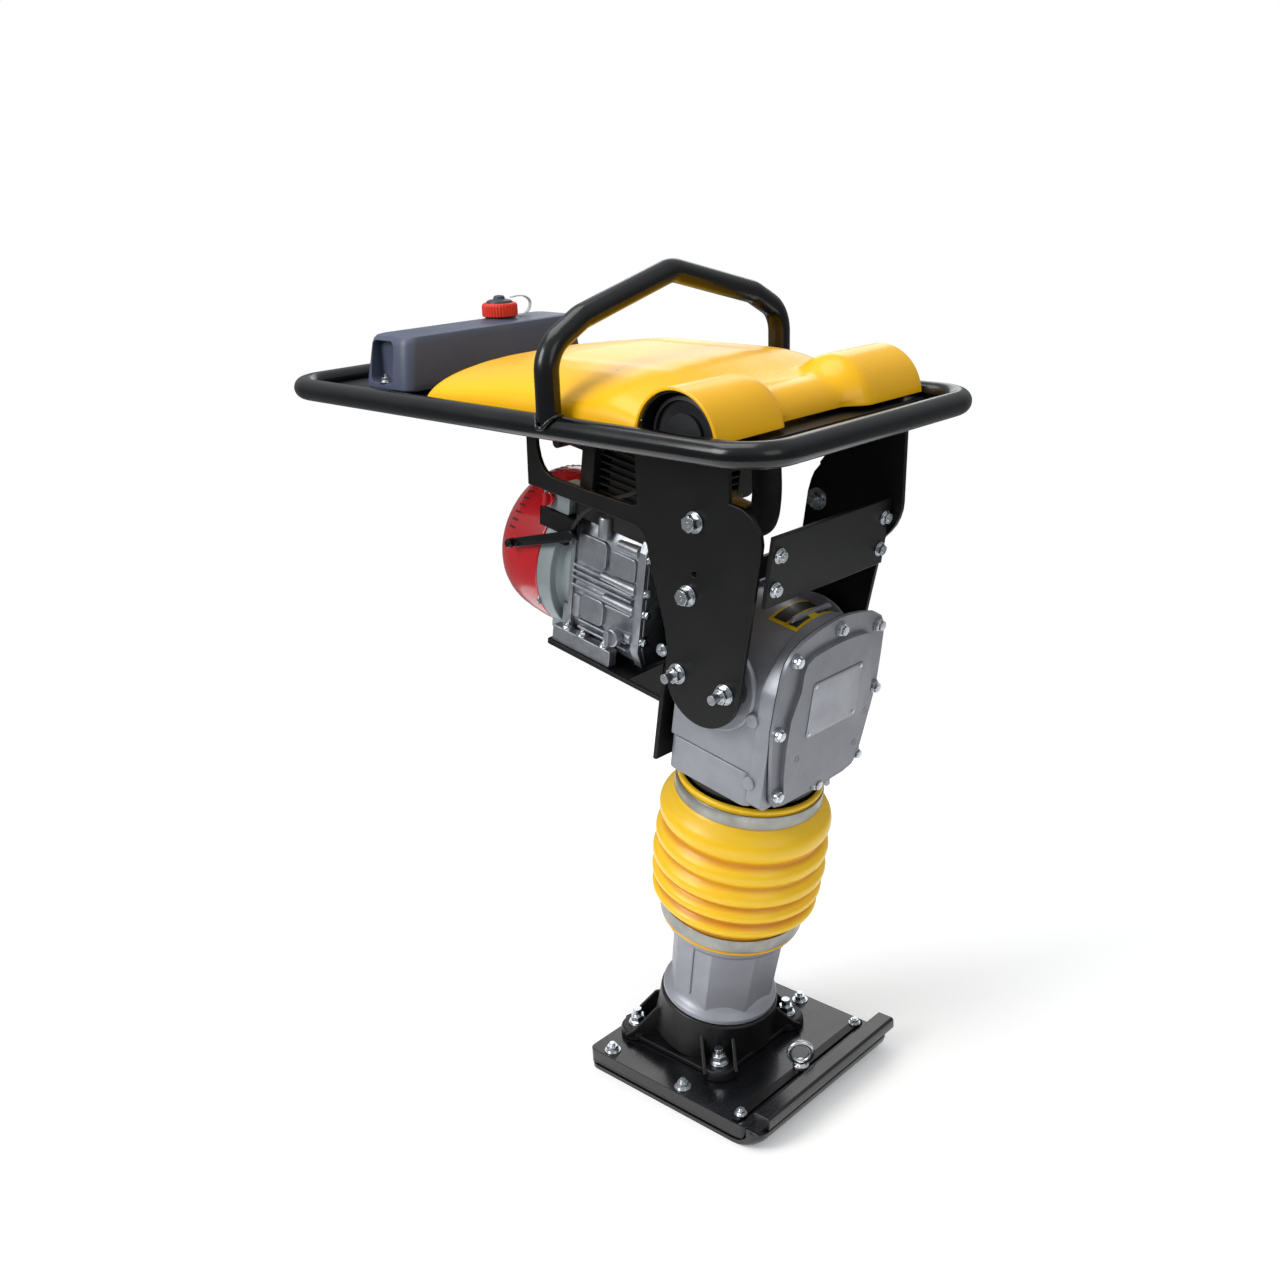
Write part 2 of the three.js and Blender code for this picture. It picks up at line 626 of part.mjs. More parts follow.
function fanHousing() {
  const [u0, u1] = ENGINE.fan;
  const rim = BASE.u0 - 1.4;
  const ring = turned([[0, u0], [ENGINE.r, u0], [ENGINE.r, rim], [86, rim], [86, u1], [0, u1]],
    'x', 0, ENGINE.s, 40);
  const skirt = box(u0, rim, -100, 100, 552, ENGINE.s);
  const foot = box(-270, u1 - 6, -80, 80, BASE.s + BASE.t + GAP, 600);
  const shelf = box(u0, u1, -100, -44, 724, 752);
  return join(ring, skirt, foot, shelf);
}

function recoilCover() {
  const { rear, fan, r } = ENGINE;
  const u1 = fan[0] - GAP;
  return turned([[0, rear], [80, rear + 3], [92, rear + 12], [99, rear + 26], [r - 1, rear + 48], [r, u1], [0, u1]],
    'x', 0, ENGINE.s, 40);
}

function recoilGrip() {
  return cut(
    prism(roundBox(-366, -310, -26, 26, 8), 'z', 769, 784),
    disc('z', -338, 0, 3, 760, 790, 12),
  );
}

function cylinderHead() {
  const core = box(-232, -132, -56, 56, 742.3, 822);
  const fins = Array.from({ length: 7 }, (_, i) => {
    const s = 750 + 11 * i;
    return prism(roundBox(-240, -124, -64, 64, 10), 'z', s, s + 4);
  });
  const cap = prism(roundBox(-222, -142, -40, 40, 12), 'z', 820, 840);
  return join(core, ...fins, cap);
}

function muffler() {
  const can = prism(roundBox(70, 106, 752, 834, 12), 'x', -236, -128);
  return join(can, disc('x', 88, 800, 9, -262, -235, 20));
}

function carburettor() {
  return join(
    box(-118, -72, -40, 14, 752, 792),
    disc('z', -95, -12, 20, 730, 753, 28),
    disc('x', -12, 774, 18, -123.5, -40, 28),
  );
}

function airDuct() {
  const path = [[-39.2, -12, 774], [-28, -12, 774.2], [-17, -12.5, 779], [-10, -13, 788], [-7, -14, 802], [-8, -15, 822],
    [-13, -17, 850], [-21, -20, 882]];
  return bar(path, 17, [0, 1, 0], false, 20);
}

function clutchHousing() {
  const u1 = BASE.u1 - BASE.t - GAP;
  return turned([[24, u1 - 46], [62, u1 - 46], [66, u1 - 40], [66, u1 - 8], [60, u1], [24, u1]], 'x', 0, ENGINE.s, 28);
}

function throttleLever() {
  const arm = prism([[-236, 716], [-232, 704], [-340, 662], [-345, 667]], 'y', -110, -107);
  return join(arm, disc('y', -238, 709, 8, -112, -104, 20), disc('y', -341, 665, 6, -117, -106, 16));
}

function chokeLever() {
  return join(box(-100, -94, -60, -40.4, 768, 774), box(-100, -94, -64, -59, 762, 794));
}

function engineSwitch() {
  return join(disc('y', -284, 742, 9, -106, -100.3, 20), box(-287, -281, -112, -105, 733, 751));
}

function oilCap() {
  return join(disc('y', -156, 603, 12, -112, -99.3, 24), box(-158.5, -153.5, -118, -111, 592, 614));
}

function sparkCap() {
  return join(disc('x', 0, 806, 9, -123.6, -112, 20), disc('z', -116, 0, 8, 800, 828, 20));
}

const boltSpots = FLANGE.boltX.flatMap((x) => [-FLANGE.boltY, FLANGE.boltY].map((y) => [x, y]));
const mountSpots = [[-38, 607], [33, 610]];

node(ground, 'sole_plate', solePlate(), 'steel');
node(ground, 'shoe_core', shoeCore(), 'shoe');
node(ground, 'toe_bar', toeBar(), 'shoe');
node(ground, 'toe_strip', toeStrip(), 'black');
node(ground, 'foot_flange', footFlange(), 'shoe');
boltSpots.forEach(([x, y], i) => node(ground, `foot_stud_${i + 1}`, footBolt(x, y), 'zinc'));
node(ground, 'eye_bolt', eyeBolt(), 'zinc');
node(leg, 'leg_tube', legTube(), 'silver');
node(leg, 'spring_tube', springTube(), 'steel');
node(leg, 'lower_clamp', clamp(BAND.low), 'steel');
node(leg, 'lower_spring', helix(36, 5, BORE.s0 + 0.5, 189.5, 5), 'spring');
node(leg, 'upper_spring', helix(36, 5, 206.5, BORE.s1 - 8.5, 7), 'spring');
node(leg, 'bellows', bellowsSkin(), 'bellows');
node(leg, 'upper_clamp', clamp(BAND.high), 'steel');
node(leg, 'guide_tube', guideTube(), 'rubber');
node(leg, 'piston', piston(), 'steel');
node(leg, 'drive_case', driveCase(), 'silver');
node(leg, 'case_cover', caseCover(), 'cover');
node(leg, 'rating_plate', ratingPlate(), 'plate');
node(leg, 'crank_gear', crankGear(), 'steel');
node(leg, 'pinion', pinionShaft(), 'steel');
node(leg, 'con_rod', conRod(), 'steel');
node(leg, 'shaft_bearing', shaftBearing(), 'steel');
[-1, 1].forEach((side) => mountSpots.forEach(([u, s], i) => {
  node(leg, `rubber_mount_${side < 0 ? 'near' : 'far'}_${i + 1}`, rubberMount(u, s, side), 'rubber');
}));
node(handle, 'side_plate_near', nearPlate(), 'black');
node(handle, 'side_plate_far', farPlate(), 'black');
node(leg, 'cross_plate', crossPlate(), 'black');
node(leg, 'engine_base', engineBase(), 'black');
node(handle, 'handle_loop', bar(railPath(), RAIL.r, [0, 0, 1], true, 14), 'black');
node(handle, 'lift_arch', liftArch(), 'black');
node(handle, 'rear_deck', deckSheet(-555, -318, 34, []), 'black');
node(handle, 'front_deck', deckSheet(-208, 160, 4, [
  prism(roundBox(-190, 20, -160, 160, 12), 'z', -10, 2), disc('z', 105, 0, 40, -10, 2, 32)]), 'black');
node(handle, 'fuel_tank', tankBody(), 'tank');
node(handle, 'cap_ring', capRing(), 'capRed');
node(handle, 'cap_insert', capInsert(), 'insert');
node(handle, 'cap_strap', capStrap(), 'plate');
node(handle, 'hood', hood(), 'yellow');
node(handle, 'filter_can_near', filterCan(-1), 'rubber');
node(handle, 'filter_can_far', filterCan(1), 'rubber');
node(leg, 'engine_block', engineBlock(), 'alloy');
node(leg, 'fan_housing', fanHousing(), 'fanGrey');
node(leg, 'recoil_cover', recoilCover(), 'red');
node(leg, 'recoil_grip', recoilGrip(), 'black');
node(leg, 'cylinder', cylinderHead(), 'alloy');
node(leg, 'muffler', muffler(), 'black');
node(leg, 'carburettor', carburettor(), 'alloy');
node(leg, 'air_duct', airDuct(), 'rubber');
node(leg, 'clutch_housing', clutchHousing(), 'black');
node(leg, 'throttle_lever', throttleLever(), 'black');
node(leg, 'choke_lever', chokeLever(), 'black');
node(leg, 'engine_switch', engineSwitch(), 'red');
node(leg, 'oil_cap', oilCap(), 'black');
node(leg, 'spark_cap', sparkCap(), 'black');

export default ground;
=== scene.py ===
import math
import bpy
import bmesh
from mathutils import Matrix, Vector


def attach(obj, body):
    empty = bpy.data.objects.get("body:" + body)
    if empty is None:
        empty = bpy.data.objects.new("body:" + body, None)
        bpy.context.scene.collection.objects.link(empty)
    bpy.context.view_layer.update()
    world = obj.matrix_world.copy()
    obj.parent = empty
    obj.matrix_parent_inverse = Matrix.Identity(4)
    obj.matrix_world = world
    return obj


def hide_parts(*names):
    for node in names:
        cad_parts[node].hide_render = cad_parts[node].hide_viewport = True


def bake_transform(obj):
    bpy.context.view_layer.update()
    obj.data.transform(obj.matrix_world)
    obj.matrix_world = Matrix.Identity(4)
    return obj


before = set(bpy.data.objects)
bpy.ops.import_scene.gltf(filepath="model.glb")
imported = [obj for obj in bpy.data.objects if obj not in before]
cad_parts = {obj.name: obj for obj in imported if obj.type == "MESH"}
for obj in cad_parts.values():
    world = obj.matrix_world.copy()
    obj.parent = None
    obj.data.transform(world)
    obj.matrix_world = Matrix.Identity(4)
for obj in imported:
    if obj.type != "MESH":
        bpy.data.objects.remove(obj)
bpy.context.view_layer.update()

# ---------------------------------------------------------------- places
# Pieces are drawn in millimetres in one of three frames, then moved to the ground frame in metres.
MM = Matrix.Scale(0.001, 4)
GROUND = MM
LEG_FOOT = (-0.0517, 0, 0)          # where the leg's axis meets the ground, in metres
LEG_LEAN = math.radians(11.3)
LEG = Matrix.Translation(LEG_FOOT) @ Matrix.Rotation(LEG_LEAN, 4, "Y") @ MM
HANDLE = Matrix.Translation((0, 0, 0.8932)) @ Matrix.Rotation(math.radians(2), 4, "Y") @ MM


def leg_to_handle(points):
    swap = HANDLE.inverted() @ LEG
    return [(lambda v: (v.x, v.z))(swap @ Vector((u, 0, s))) for u, s in points]


# ---------------------------------------------------------------- camera
def place_camera():
    azimuth, elevation, roll = (math.radians(a) for a in (44.178, 18.374, -3.446))
    target, distance = Vector((-0.14377, 0, 0.57748)), 1.78024
    back = Vector((math.sin(azimuth) * math.cos(elevation), -math.cos(azimuth) * math.cos(elevation),
        math.sin(elevation)))
    right = (-back).cross(Vector((0, 0, 1))).normalized()
    up = right.cross(-back)
    turned_right = right * math.cos(roll) + up * math.sin(roll)
    turned_up = up * math.cos(roll) - right * math.sin(roll)
    data = bpy.data.cameras.new("camera")
    data.sensor_width = 36
    data.lens = 36 * 1358.76 / 1280
    data.clip_end = 50
    camera = bpy.data.objects.new("camera", data)
    bpy.context.collection.objects.link(camera)
    pose = Matrix((turned_right, turned_up, back)).transposed().to_4x4()
    camera.matrix_world = Matrix.Translation(target + back * distance) @ pose
    bpy.context.scene.camera = camera


place_camera()


# ---------------------------------------------------------------- materials
def colour(hex_text, alpha=1.0):
    parts = [int(hex_text[i:i + 2], 16) / 255 for i in (0, 2, 4)]
    return tuple(c / 12.92 if c <= 0.04045 else ((c + 0.055) / 1.055) ** 2.4 for c in parts) + (alpha,)


def add(tree, kind, values=None, links=None, **settings):
    """Adds a node, sets its settings and socket values, and links other nodes' sockets to it."""
    node = tree.nodes.new(kind)
    for key, value in settings.items():
        setattr(node, key, value)
    for socket, value in (values or {}).items():
        node.inputs[socket].default_value = value
    for socket, source in (links or {}).items():
        tree.links.new(source, node.inputs[socket])
    return node


def finish(name, base, shade, rough=(0.4, 0.5), grain=1.0, lift=0.05, mottle=60.0, metal=0.0, coat=0.0,
        coat_rough=0.1, ior=None, streak=None, see=None):
    """base and shade are the two ends of the colour; grain and mottle are sizes in millimetres;
    lift is the grain's height in millimetres; streak stretches the grain along an axis."""
    material = bpy.data.materials.new(name)
    material.use_nodes = True
    tree = material.node_tree
    tree.nodes.clear()
    place = add(tree, "ShaderNodeTexCoord").outputs["Object"]
    patches = add(tree, "ShaderNodeTexNoise", {"Scale": 1000 / mottle, "Detail": 4.0, "Roughness": 0.6},
        {"Vector": place}).outputs["Fac"]
    spread = add(tree, "ShaderNodeMapRange", {"From Min": 0.3, "From Max": 0.7}, {"Value": patches})
    hue = add(tree, "ShaderNodeMix", {6: colour(base), 7: colour(shade)}, {0: spread.outputs["Result"]},
        data_type="RGBA").outputs[2]
    fine_place = place
    if streak:
        fine_place = add(tree, "ShaderNodeMapping", {"Scale": streak}, {"Vector": place}).outputs["Vector"]
    fine = add(tree, "ShaderNodeTexNoise", {"Scale": 1000 / grain, "Detail": 3.0, "Roughness": 0.55},
        {"Vector": fine_place}).outputs["Fac"]
    both = add(tree, "ShaderNodeMath", None, {0: fine, 1: spread.outputs["Result"]}, operation="ADD")
    dull = add(tree, "ShaderNodeMapRange", {"From Min": 0.4, "From Max": 1.5, "To Min": rough[0],
        "To Max": rough[1]}, {"Value": both.outputs["Value"]})
    bump = add(tree, "ShaderNodeBump", {"Strength": 1.0, "Distance": lift / 1000}, {"Height": fine})
    skin = add(tree, "ShaderNodeBsdfPrincipled", {"Metallic": metal, "Coat Weight": coat,
        "Coat Roughness": coat_rough}, {"Base Color": hue, "Roughness": dull.outputs["Result"],
        "Normal": bump.outputs["Normal"]})
    if ior:
        skin.inputs["IOR"].default_value = ior
    if see is not None:
        skin.inputs["Transmission Weight"].default_value = see
    add(tree, "ShaderNodeOutputMaterial", None, {"Surface": skin.outputs["BSDF"]})
    material.diffuse_color = colour(base)
    return material


# Powder-coated plate: deep black, satin, with the faint orange peel of a sprayed powder.
PLATE_BLACK = finish("satin_black_powder_on_plate", "040405", "070708", (0.36, 0.48), 1.6,
    0.02, 90, ior=1.42)
# The same powder on the tubes, thicker and glossier.
POWDER = finish("gloss_black_powder_coat", "050608", "090a0d", (0.18, 0.3), 2.2, 0.03, 90,
    coat=0.2, coat_rough=0.08, ior=1.42)
# Brushed-on chassis black over plate: a little duller and greyer than the frame.
SHOE_PAINT = finish("satin_black_enamel_on_plate", "07080b", "0c0d12", (0.2, 0.32), 3.0, 0.012,
    70, coat=0.3, coat_rough=0.12, ior=1.45)
# Cast iron under black enamel: sand-cast grain shows through the paint.
CAST_BLACK = finish("black_enamel_on_sand_casting", "08080a", "0e0e11", (0.32, 0.46), 2.4, 0.18,
    45, ior=1.46)
# Wear plate: rolled steel, scuffed along its travel.
SOLE_STEEL = finish("rolled_wear_plate", "5d5f63", "3a3b3e", (0.3, 0.5), 1.6, 0.05, 50, metal=0.9,
    streak=(0.15, 1, 1))
# Silver machine enamel over a sand casting: small metal flake, soft grain, slightly cloudy.
SILVER = finish("silver_enamel_on_casting", "a4a6ae", "92949c", (0.36, 0.5), 1.5, 0.05, 80,
    metal=0.45, ior=1.5)
# The cover is sprayed in the same silver, and its front lies in shade.
COVER_SILVER = finish("silver_enamel_on_cover", "8d8f96", "7e8087", (0.34, 0.46), 1.3, 0.04,
    90, metal=0.4, ior=1.5)
# Die-cast aluminium, unpainted: bright skin, grey patches at random.
ALLOY = finish("die_cast_aluminium", "b4b7bc", "888b92", (0.3, 0.48), 1.8, 0.09, 25, metal=0.85)
# Pale grey engine enamel on the fan housing.
FAN_GREY = finish("pale_grey_engine_enamel", "98a3a6", "858f92", (0.35, 0.48), 1.8, 0.05, 60,
    metal=0.1, ior=1.5)
# Polyethylene hood, rotation moulded: even yellow, soft gloss, very shallow ripple.
HOOD_YELLOW = finish("gloss_yellow_moulded_hood", "fdc00c", "f9ba08", (0.24, 0.34), 9.0, 0.006,
    160, coat=0.08, coat_rough=0.06, ior=1.4)
# Polyurethane bellows: warmer yellow, satin, faint mould texture.
BELLOWS_YELLOW = finish("satin_yellow_polyurethane", "ffd01a", "fcc814", (0.3, 0.42), 2.4,
    0.02, 70, coat=0.15, coat_rough=0.25, ior=1.5)


def paint_groove_shade(material):
    """Painted shade: deeper amber where the bellows folds in, by distance from the leg's axis."""
    tree = material.node_tree
    bsdf = next(n for n in tree.nodes if n.type == "BSDF_PRINCIPLED")
    plain = bsdf.inputs["Base Color"].links[0].from_socket
    place = add(tree, "ShaderNodeTexCoord").outputs["Object"]
    along = add(tree, "ShaderNodeMapping", {"Location": LEG_FOOT, "Rotation": (0, LEG_LEAN, 0)},
        {"Vector": place}, vector_type="TEXTURE").outputs[0]
    parts = add(tree, "ShaderNodeSeparateXYZ", None, {0: along}).outputs
    flat = add(tree, "ShaderNodeCombineXYZ", None, {0: parts[0], 1: parts[1]}).outputs[0]
    radius = add(tree, "ShaderNodeVectorMath", None, {0: flat}, operation="LENGTH").outputs["Value"]
    deep = add(tree, "ShaderNodeMapRange", {"From Min": 0.1012, "From Max": 0.1066, "To Min": 0.9,
        "To Max": 0.0}, {"Value": radius}).outputs["Result"]
    fold = add(tree, "ShaderNodeMapRange", {"From Min": 0.2, "From Max": 0.27},
        {"Value": parts[2]}).outputs["Result"]
    top = add(tree, "ShaderNodeMapRange", {"From Min": 0.395, "From Max": 0.41, "To Min": 1.0, "To Max": 0.0},
        {"Value": parts[2]}).outputs["Result"]
    where = add(tree, "ShaderNodeMath", None, {0: deep, 1: top}, operation="MULTIPLY").outputs[0]
    groove_shade = add(tree, "ShaderNodeMath", None, {0: where, 1: fold}, operation="MULTIPLY").outputs[0]
    # painted shade: the colour is mixed towards a darker amber in the grooves to stand for the shade in the folds
    hue = add(tree, "ShaderNodeMix", {7: colour("d68408")}, {0: groove_shade, 6: plain},
        data_type="RGBA").outputs[2]
    tree.links.new(hue, bsdf.inputs["Base Color"])


# Painted shade in the bellows' grooves.
paint_groove_shade(BELLOWS_YELLOW)
# Slate polyethylene fuel tank: fine leather grain from the mould.
TANK_SLATE = finish("grained_slate_polyethylene", "525a6e", "4a5164", (0.38, 0.5), 1.2, 0.08,
    70, ior=1.5)
CAP_RED = finish("satin_red_polypropylene", "e2301a", "cf2814", (0.35, 0.45), 1.0, 0.03, 20,
    ior=1.49)
CAP_DARK = finish("dark_slate_nylon", "3a3e4c", "30333f", (0.4, 0.5), 0.9, 0.04, 20, ior=1.5)
STRAP_CLEAR = finish("milky_soft_pvc_strap", "e6e8ea", "dcdfe2", (0.25, 0.35), 1.5, 0.01, 30,
    ior=1.5, see=0.35)
# Baked red enamel on the pressed starter cover.
ENGINE_RED = finish("baked_red_enamel", "c01420", "a80f1a", (0.18, 0.3), 2.0, 0.02, 70,
    coat=0.5, coat_rough=0.08, ior=1.5)
# Bright zinc plating: cool blue-white, a little cloudy.
ZINC = finish("bright_zinc_plate", "d4d8dc", "c6cace", (0.18, 0.34), 0.8, 0.02, 14, metal=1.0)
BAND_STEEL = finish("plain_rolled_steel_band", "a8a8a4", "8f8f8b", (0.25, 0.4), 0.9, 0.02, 30,
    metal=0.9, streak=(1, 1, 0.1))
RUBBER = finish("matt_black_rubber", "17171a", "0f0f11", (0.6, 0.75), 0.8, 0.05, 30, ior=1.52)
BLACK_PLASTIC = finish("textured_black_nylon", "141518", "1c1d20", (0.4, 0.55), 0.9, 0.05, 30,
    ior=1.5)
# Matt black for hot parts; on the cowl and the cylinder it also stands in part for painted shade under the hood.
HEAT_BLACK_AND_SHADE = finish("heat_proof_matt_black_and_painted_shade", "1b1b1c", "262422", (0.55, 0.7), 1.2, 0.06, 30,
    metal=0.2)
SPRING_STEEL = finish("oiled_spring_steel", "55585e", "3c3e42", (0.3, 0.4), 0.9, 0.02, 20, metal=1.0)
GEAR_STEEL = finish("machined_gear_steel", "9a9ca0", "7d7f84", (0.25, 0.35), 0.6, 0.02, 20, metal=1.0)
BLANK_PLATE = finish("blank_satin_aluminium_plate", "a2a4aa", "96989e", (0.32, 0.42), 0.5,
    0.01, 40, metal=0.8, streak=(1, 0.08, 1))
DECAL_YELLOW = finish("yellow_vinyl_decal", "e8c513", "dcb80e", (0.3, 0.4), 1.0, 0.01, 40,
    coat=0.2)
DECAL_BLACK = finish("black_vinyl_decal", "1a1a1a", "242424", (0.3, 0.4), 1.0, 0.01, 40,
    coat=0.2)


# Seamless studio paper: white, dead matt.
PAPER = finish("white_studio_paper", "fdfdfd", "fafafa", (0.9, 0.95), 5.0, 0.02, 300)


# ---------------------------------------------------------------- mesh makers
def mesh_of(points, faces):
    mesh = bpy.data.meshes.new("part")
    mesh.from_pydata([tuple(p) for p in points], [], faces)
    work = bmesh.new()
    work.from_mesh(mesh)
    bmesh.ops.remove_doubles(work, verts=work.verts, dist=1e-4)
    bmesh.ops.dissolve_degenerate(work, edges=work.edges, dist=1e-5)
    bmesh.ops.recalc_face_normals(work, faces=work.faces)
    work.to_mesh(mesh)
    work.free()
    return mesh


def skin(rings, loop=False, closed_ring=True, caps=True):
    """Joins rings of points into a surface; an end ring becomes one flat face."""
    n = len(rings[0])
    points = [p for ring in rings for p in ring]
    faces = []
    last = len(rings) if loop else len(rings) - 1
    span = n if closed_ring else n - 1
    for i in range(last):
        a, b = i * n, ((i + 1) % len(rings)) * n
        for j in range(span):
            k = (j + 1) % n
            faces.append((a + j, b + j, b + k, a + k))
    if caps and not loop:
        faces += [tuple(range(n)), tuple(range(len(points) - n, len(points)))]
    return points, faces


def shape(*parts):
    """One mesh from several (points, faces) pairs."""
    points, faces = [], []
    for more_points, more_faces in parts:
        start = len(points)
        points += [tuple(p) for p in more_points]
        faces += [tuple(start + i for i in f) for f in more_faces]
    return mesh_of(points, faces)


def onto(axis, a, b, t):
    return {"x": (t, a, b), "y": (a, t, b), "z": (a, b, t)}[axis]


def prism(outline, axis, low, high):
    return skin([[onto(axis, a, b, t) for a, b in outline] for t in (low, high)])


def arc(x, y, r, start, end, steps):
    turns = [math.radians(start + (end - start) * i / steps) for i in range(steps + 1)]
    return [(x + r * math.cos(w), y + r * math.sin(w)) for w in turns]


def circle(x, y, r, steps=48):
    return arc(x, y, r, 0, 360, steps)[:-1]


def rounded(x0, x1, y0, y1, r, steps=8):
    return (arc(x1 - r, y1 - r, r, 0, 90, steps) + arc(x0 + r, y1 - r, r, 90, 180, steps) + arc(x0 + r,
        y0 + r, r, 180, 270, steps) + arc(x1 - r, y0 + r, r, 270, 360, steps))


def box(x0, x1, y0, y1, z0, z1):
    return prism([(x0, y0), (x1, y0), (x1, y1), (x0, y1)], "z", z0, z1)


def turned(profile, axis="z", a=0.0, b=0.0, steps=64):
    """A closed profile of (radius, position) turned about an axis through (a, b)."""
    rings = [[onto(axis, a + r * math.cos(w), b + r * math.sin(w), t) for r,
        t in profile] for w in (2 * math.pi * i / steps for i in range(steps))]
    return skin(rings, loop=True)


def smooth_line(points, per=6):
    """A curve through all the points."""
    out = []
    pts = [points[0]] + list(points) + [points[-1]]
    for i in range(1, len(pts) - 2):
        p0, p1, p2, p3 = (Vector(q) for q in pts[i - 1:i + 3])
        for j in range(per):
            t = j / per
            out.append(0.5 * ((2 * p1) + (p2 - p0) * t + (2 * p0 - 5 * p1 + 4 * p2 - p3) * t * t
                + (3 * p1 - p0 - 3 * p2 + p3) * t * t * t))
    out.append(Vector(pts[-2]))
    return [tuple(p) for p in out]


def sheet_metal(outline, holes, axis, low, high, edge=0.6):
    """Flat plate with holes and slightly rounded edges, cut from a filled curve."""
    data = bpy.data.curves.new("cut", "CURVE")
    data.dimensions = "2D"
    data.fill_mode = "BOTH"
    data.extrude = (high - low) / 2 - edge
    data.bevel_depth = edge
    data.bevel_resolution = 1
    data.offset = -edge
    for loop in [outline] + list(holes):
        spline = data.splines.new("POLY")
        spline.points.add(len(loop) - 1)
        spline.use_cyclic_u = True
        for point, (x, y) in zip(spline.points, loop):
            point.co = (x, y, 0, 1)
    carrier = bpy.data.objects.new("cut", data)
    bpy.context.collection.objects.link(carrier)
    mesh = bpy.data.meshes.new_from_object(carrier.evaluated_get(bpy.context.evaluated_depsgraph_get()))
    bpy.data.objects.remove(carrier)
    middle = (low + high) / 2
    for v in mesh.vertices:
        v.co = onto(axis, v.co.x, v.co.y, middle + v.co.z)
    work = bmesh.new()
    work.from_mesh(mesh)
    bmesh.ops.remove_doubles(work, verts=work.verts, dist=1e-3)
    bmesh.ops.recalc_face_normals(work, faces=work.faces)
    work.to_mesh(mesh)
    work.free()
    return mesh


def piece(name, mesh, material, nodes=(), place=LEG, body="machine", edge=0.0, angle=35):
    """Puts a finished mesh in the scene, rides it on its body (or on none) and hides the nodes it stands for."""
    mesh.name = name
    mesh.transform(place)
    mesh.materials.clear()
    for m in material if isinstance(material, (list, tuple)) else [material]:
        mesh.materials.append(m)
    for polygon in mesh.polygons:
        polygon.use_smooth = True
    mesh.set_sharp_from_angle(angle=math.radians(angle))
    item = bpy.data.objects.new(name, mesh)
    bpy.context.collection.objects.link(item)
    if edge:
        bevel = item.modifiers.new("edge", "BEVEL")
        bevel.width = edge / 1000
        bevel.segments = 3
        bevel.limit_method = "ANGLE"
        bevel.angle_limit = math.radians(32)
        bevel.harden_normals = True
    if body:
        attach(item, body)
    if nodes:
        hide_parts(*nodes)
    return item


# ---------------------------------------------------------------- geometry node tools
def node_group(name, inputs):
    group = bpy.data.node_groups.new(name, "GeometryNodeTree")
    group.interface.new_socket("Geometry", in_out="INPUT", socket_type="NodeSocketGeometry")
    ids = {}
    for label, kind, value in inputs:
        made = group.interface.new_socket(label, in_out="INPUT", socket_type=kind)
        if value is not None:
            made.default_value = value
        ids[label] = made.identifier
    group.interface.new_socket("Geometry", in_out="OUTPUT", socket_type="NodeSocketGeometry")
    return group, ids


def closed_group(group, ids, last, material):
    """Ends a group: copies made real, material set."""
    real = add(group, "GeometryNodeRealizeInstances", None, {0: last.outputs[0]})
    paint = add(group, "GeometryNodeSetMaterial", None, {"Geometry": real.outputs[0], "Material": material})
    add(group, "NodeGroupOutput", None, {"Geometry": paint.outputs[0]})
    return group, ids


def grown(group, ids, mesh, **values):
    """Runs a geometry node group on a mesh and returns the plain mesh it makes."""
    carrier = bpy.data.objects.new("carrier", mesh)
    bpy.context.collection.objects.link(carrier)
    modifier = carrier.modifiers.new("grow", "NODES")
    modifier.node_group = group
    for label, value in values.items():
        modifier[ids[label.replace("_", " ")]] = value
    made = bpy.data.meshes.new_from_object(carrier.evaluated_get(bpy.context.evaluated_depsgraph_get()))
    carrier.modifiers.clear()
    bpy.data.objects.remove(carrier)
    return made


def build_sweep_group():
    """A round bar along a path of edges, with its corners rounded to a radius."""
    group, ids = node_group("swept bar", [("Bar Radius", "NodeSocketFloat", 10.0),
        ("Corner Radius", "NodeSocketFloat", 20.0), ("Corner Steps", "NodeSocketInt", 12),
        ("Sides", "NodeSocketInt", 32), ("Material", "NodeSocketMaterial", None)])
    start = add(group, "NodeGroupInput")
    path = add(group, "GeometryNodeMeshToCurve", None, {"Mesh": start.outputs["Geometry"]})
    corner = add(group, "GeometryNodeFilletCurve", {"Limit Radius": True},
        {0: path.outputs[0], 1: start.outputs["Corner Steps"], 2: start.outputs["Corner Radius"]},
        mode="POLY")
    ring = add(group, "GeometryNodeCurvePrimitiveCircle", None, {"Radius": start.outputs["Bar Radius"],
        "Resolution": start.outputs["Sides"]})
    bar = add(group, "GeometryNodeCurveToMesh", {"Fill Caps": True}, {"Curve": corner.outputs[0],
        "Profile Curve": ring.outputs[0]})
    return closed_group(group, ids, bar, start.outputs["Material"])


SWEEP = build_sweep_group()


def bar(path, radius, corner=0.0, closed=False, material=POWDER, sides=32, steps=12):
    edges = [(i, i + 1) for i in range(len(path) - 1)] + ([(len(path) - 1, 0)] if closed else [])
    line = bpy.data.meshes.new("path")
    line.from_pydata([tuple(p) for p in path], edges, [])
    return grown(*SWEEP, line, Bar_Radius=radius, Corner_Radius=corner, Corner_Steps=steps, Sides=sides,
        Material=material)


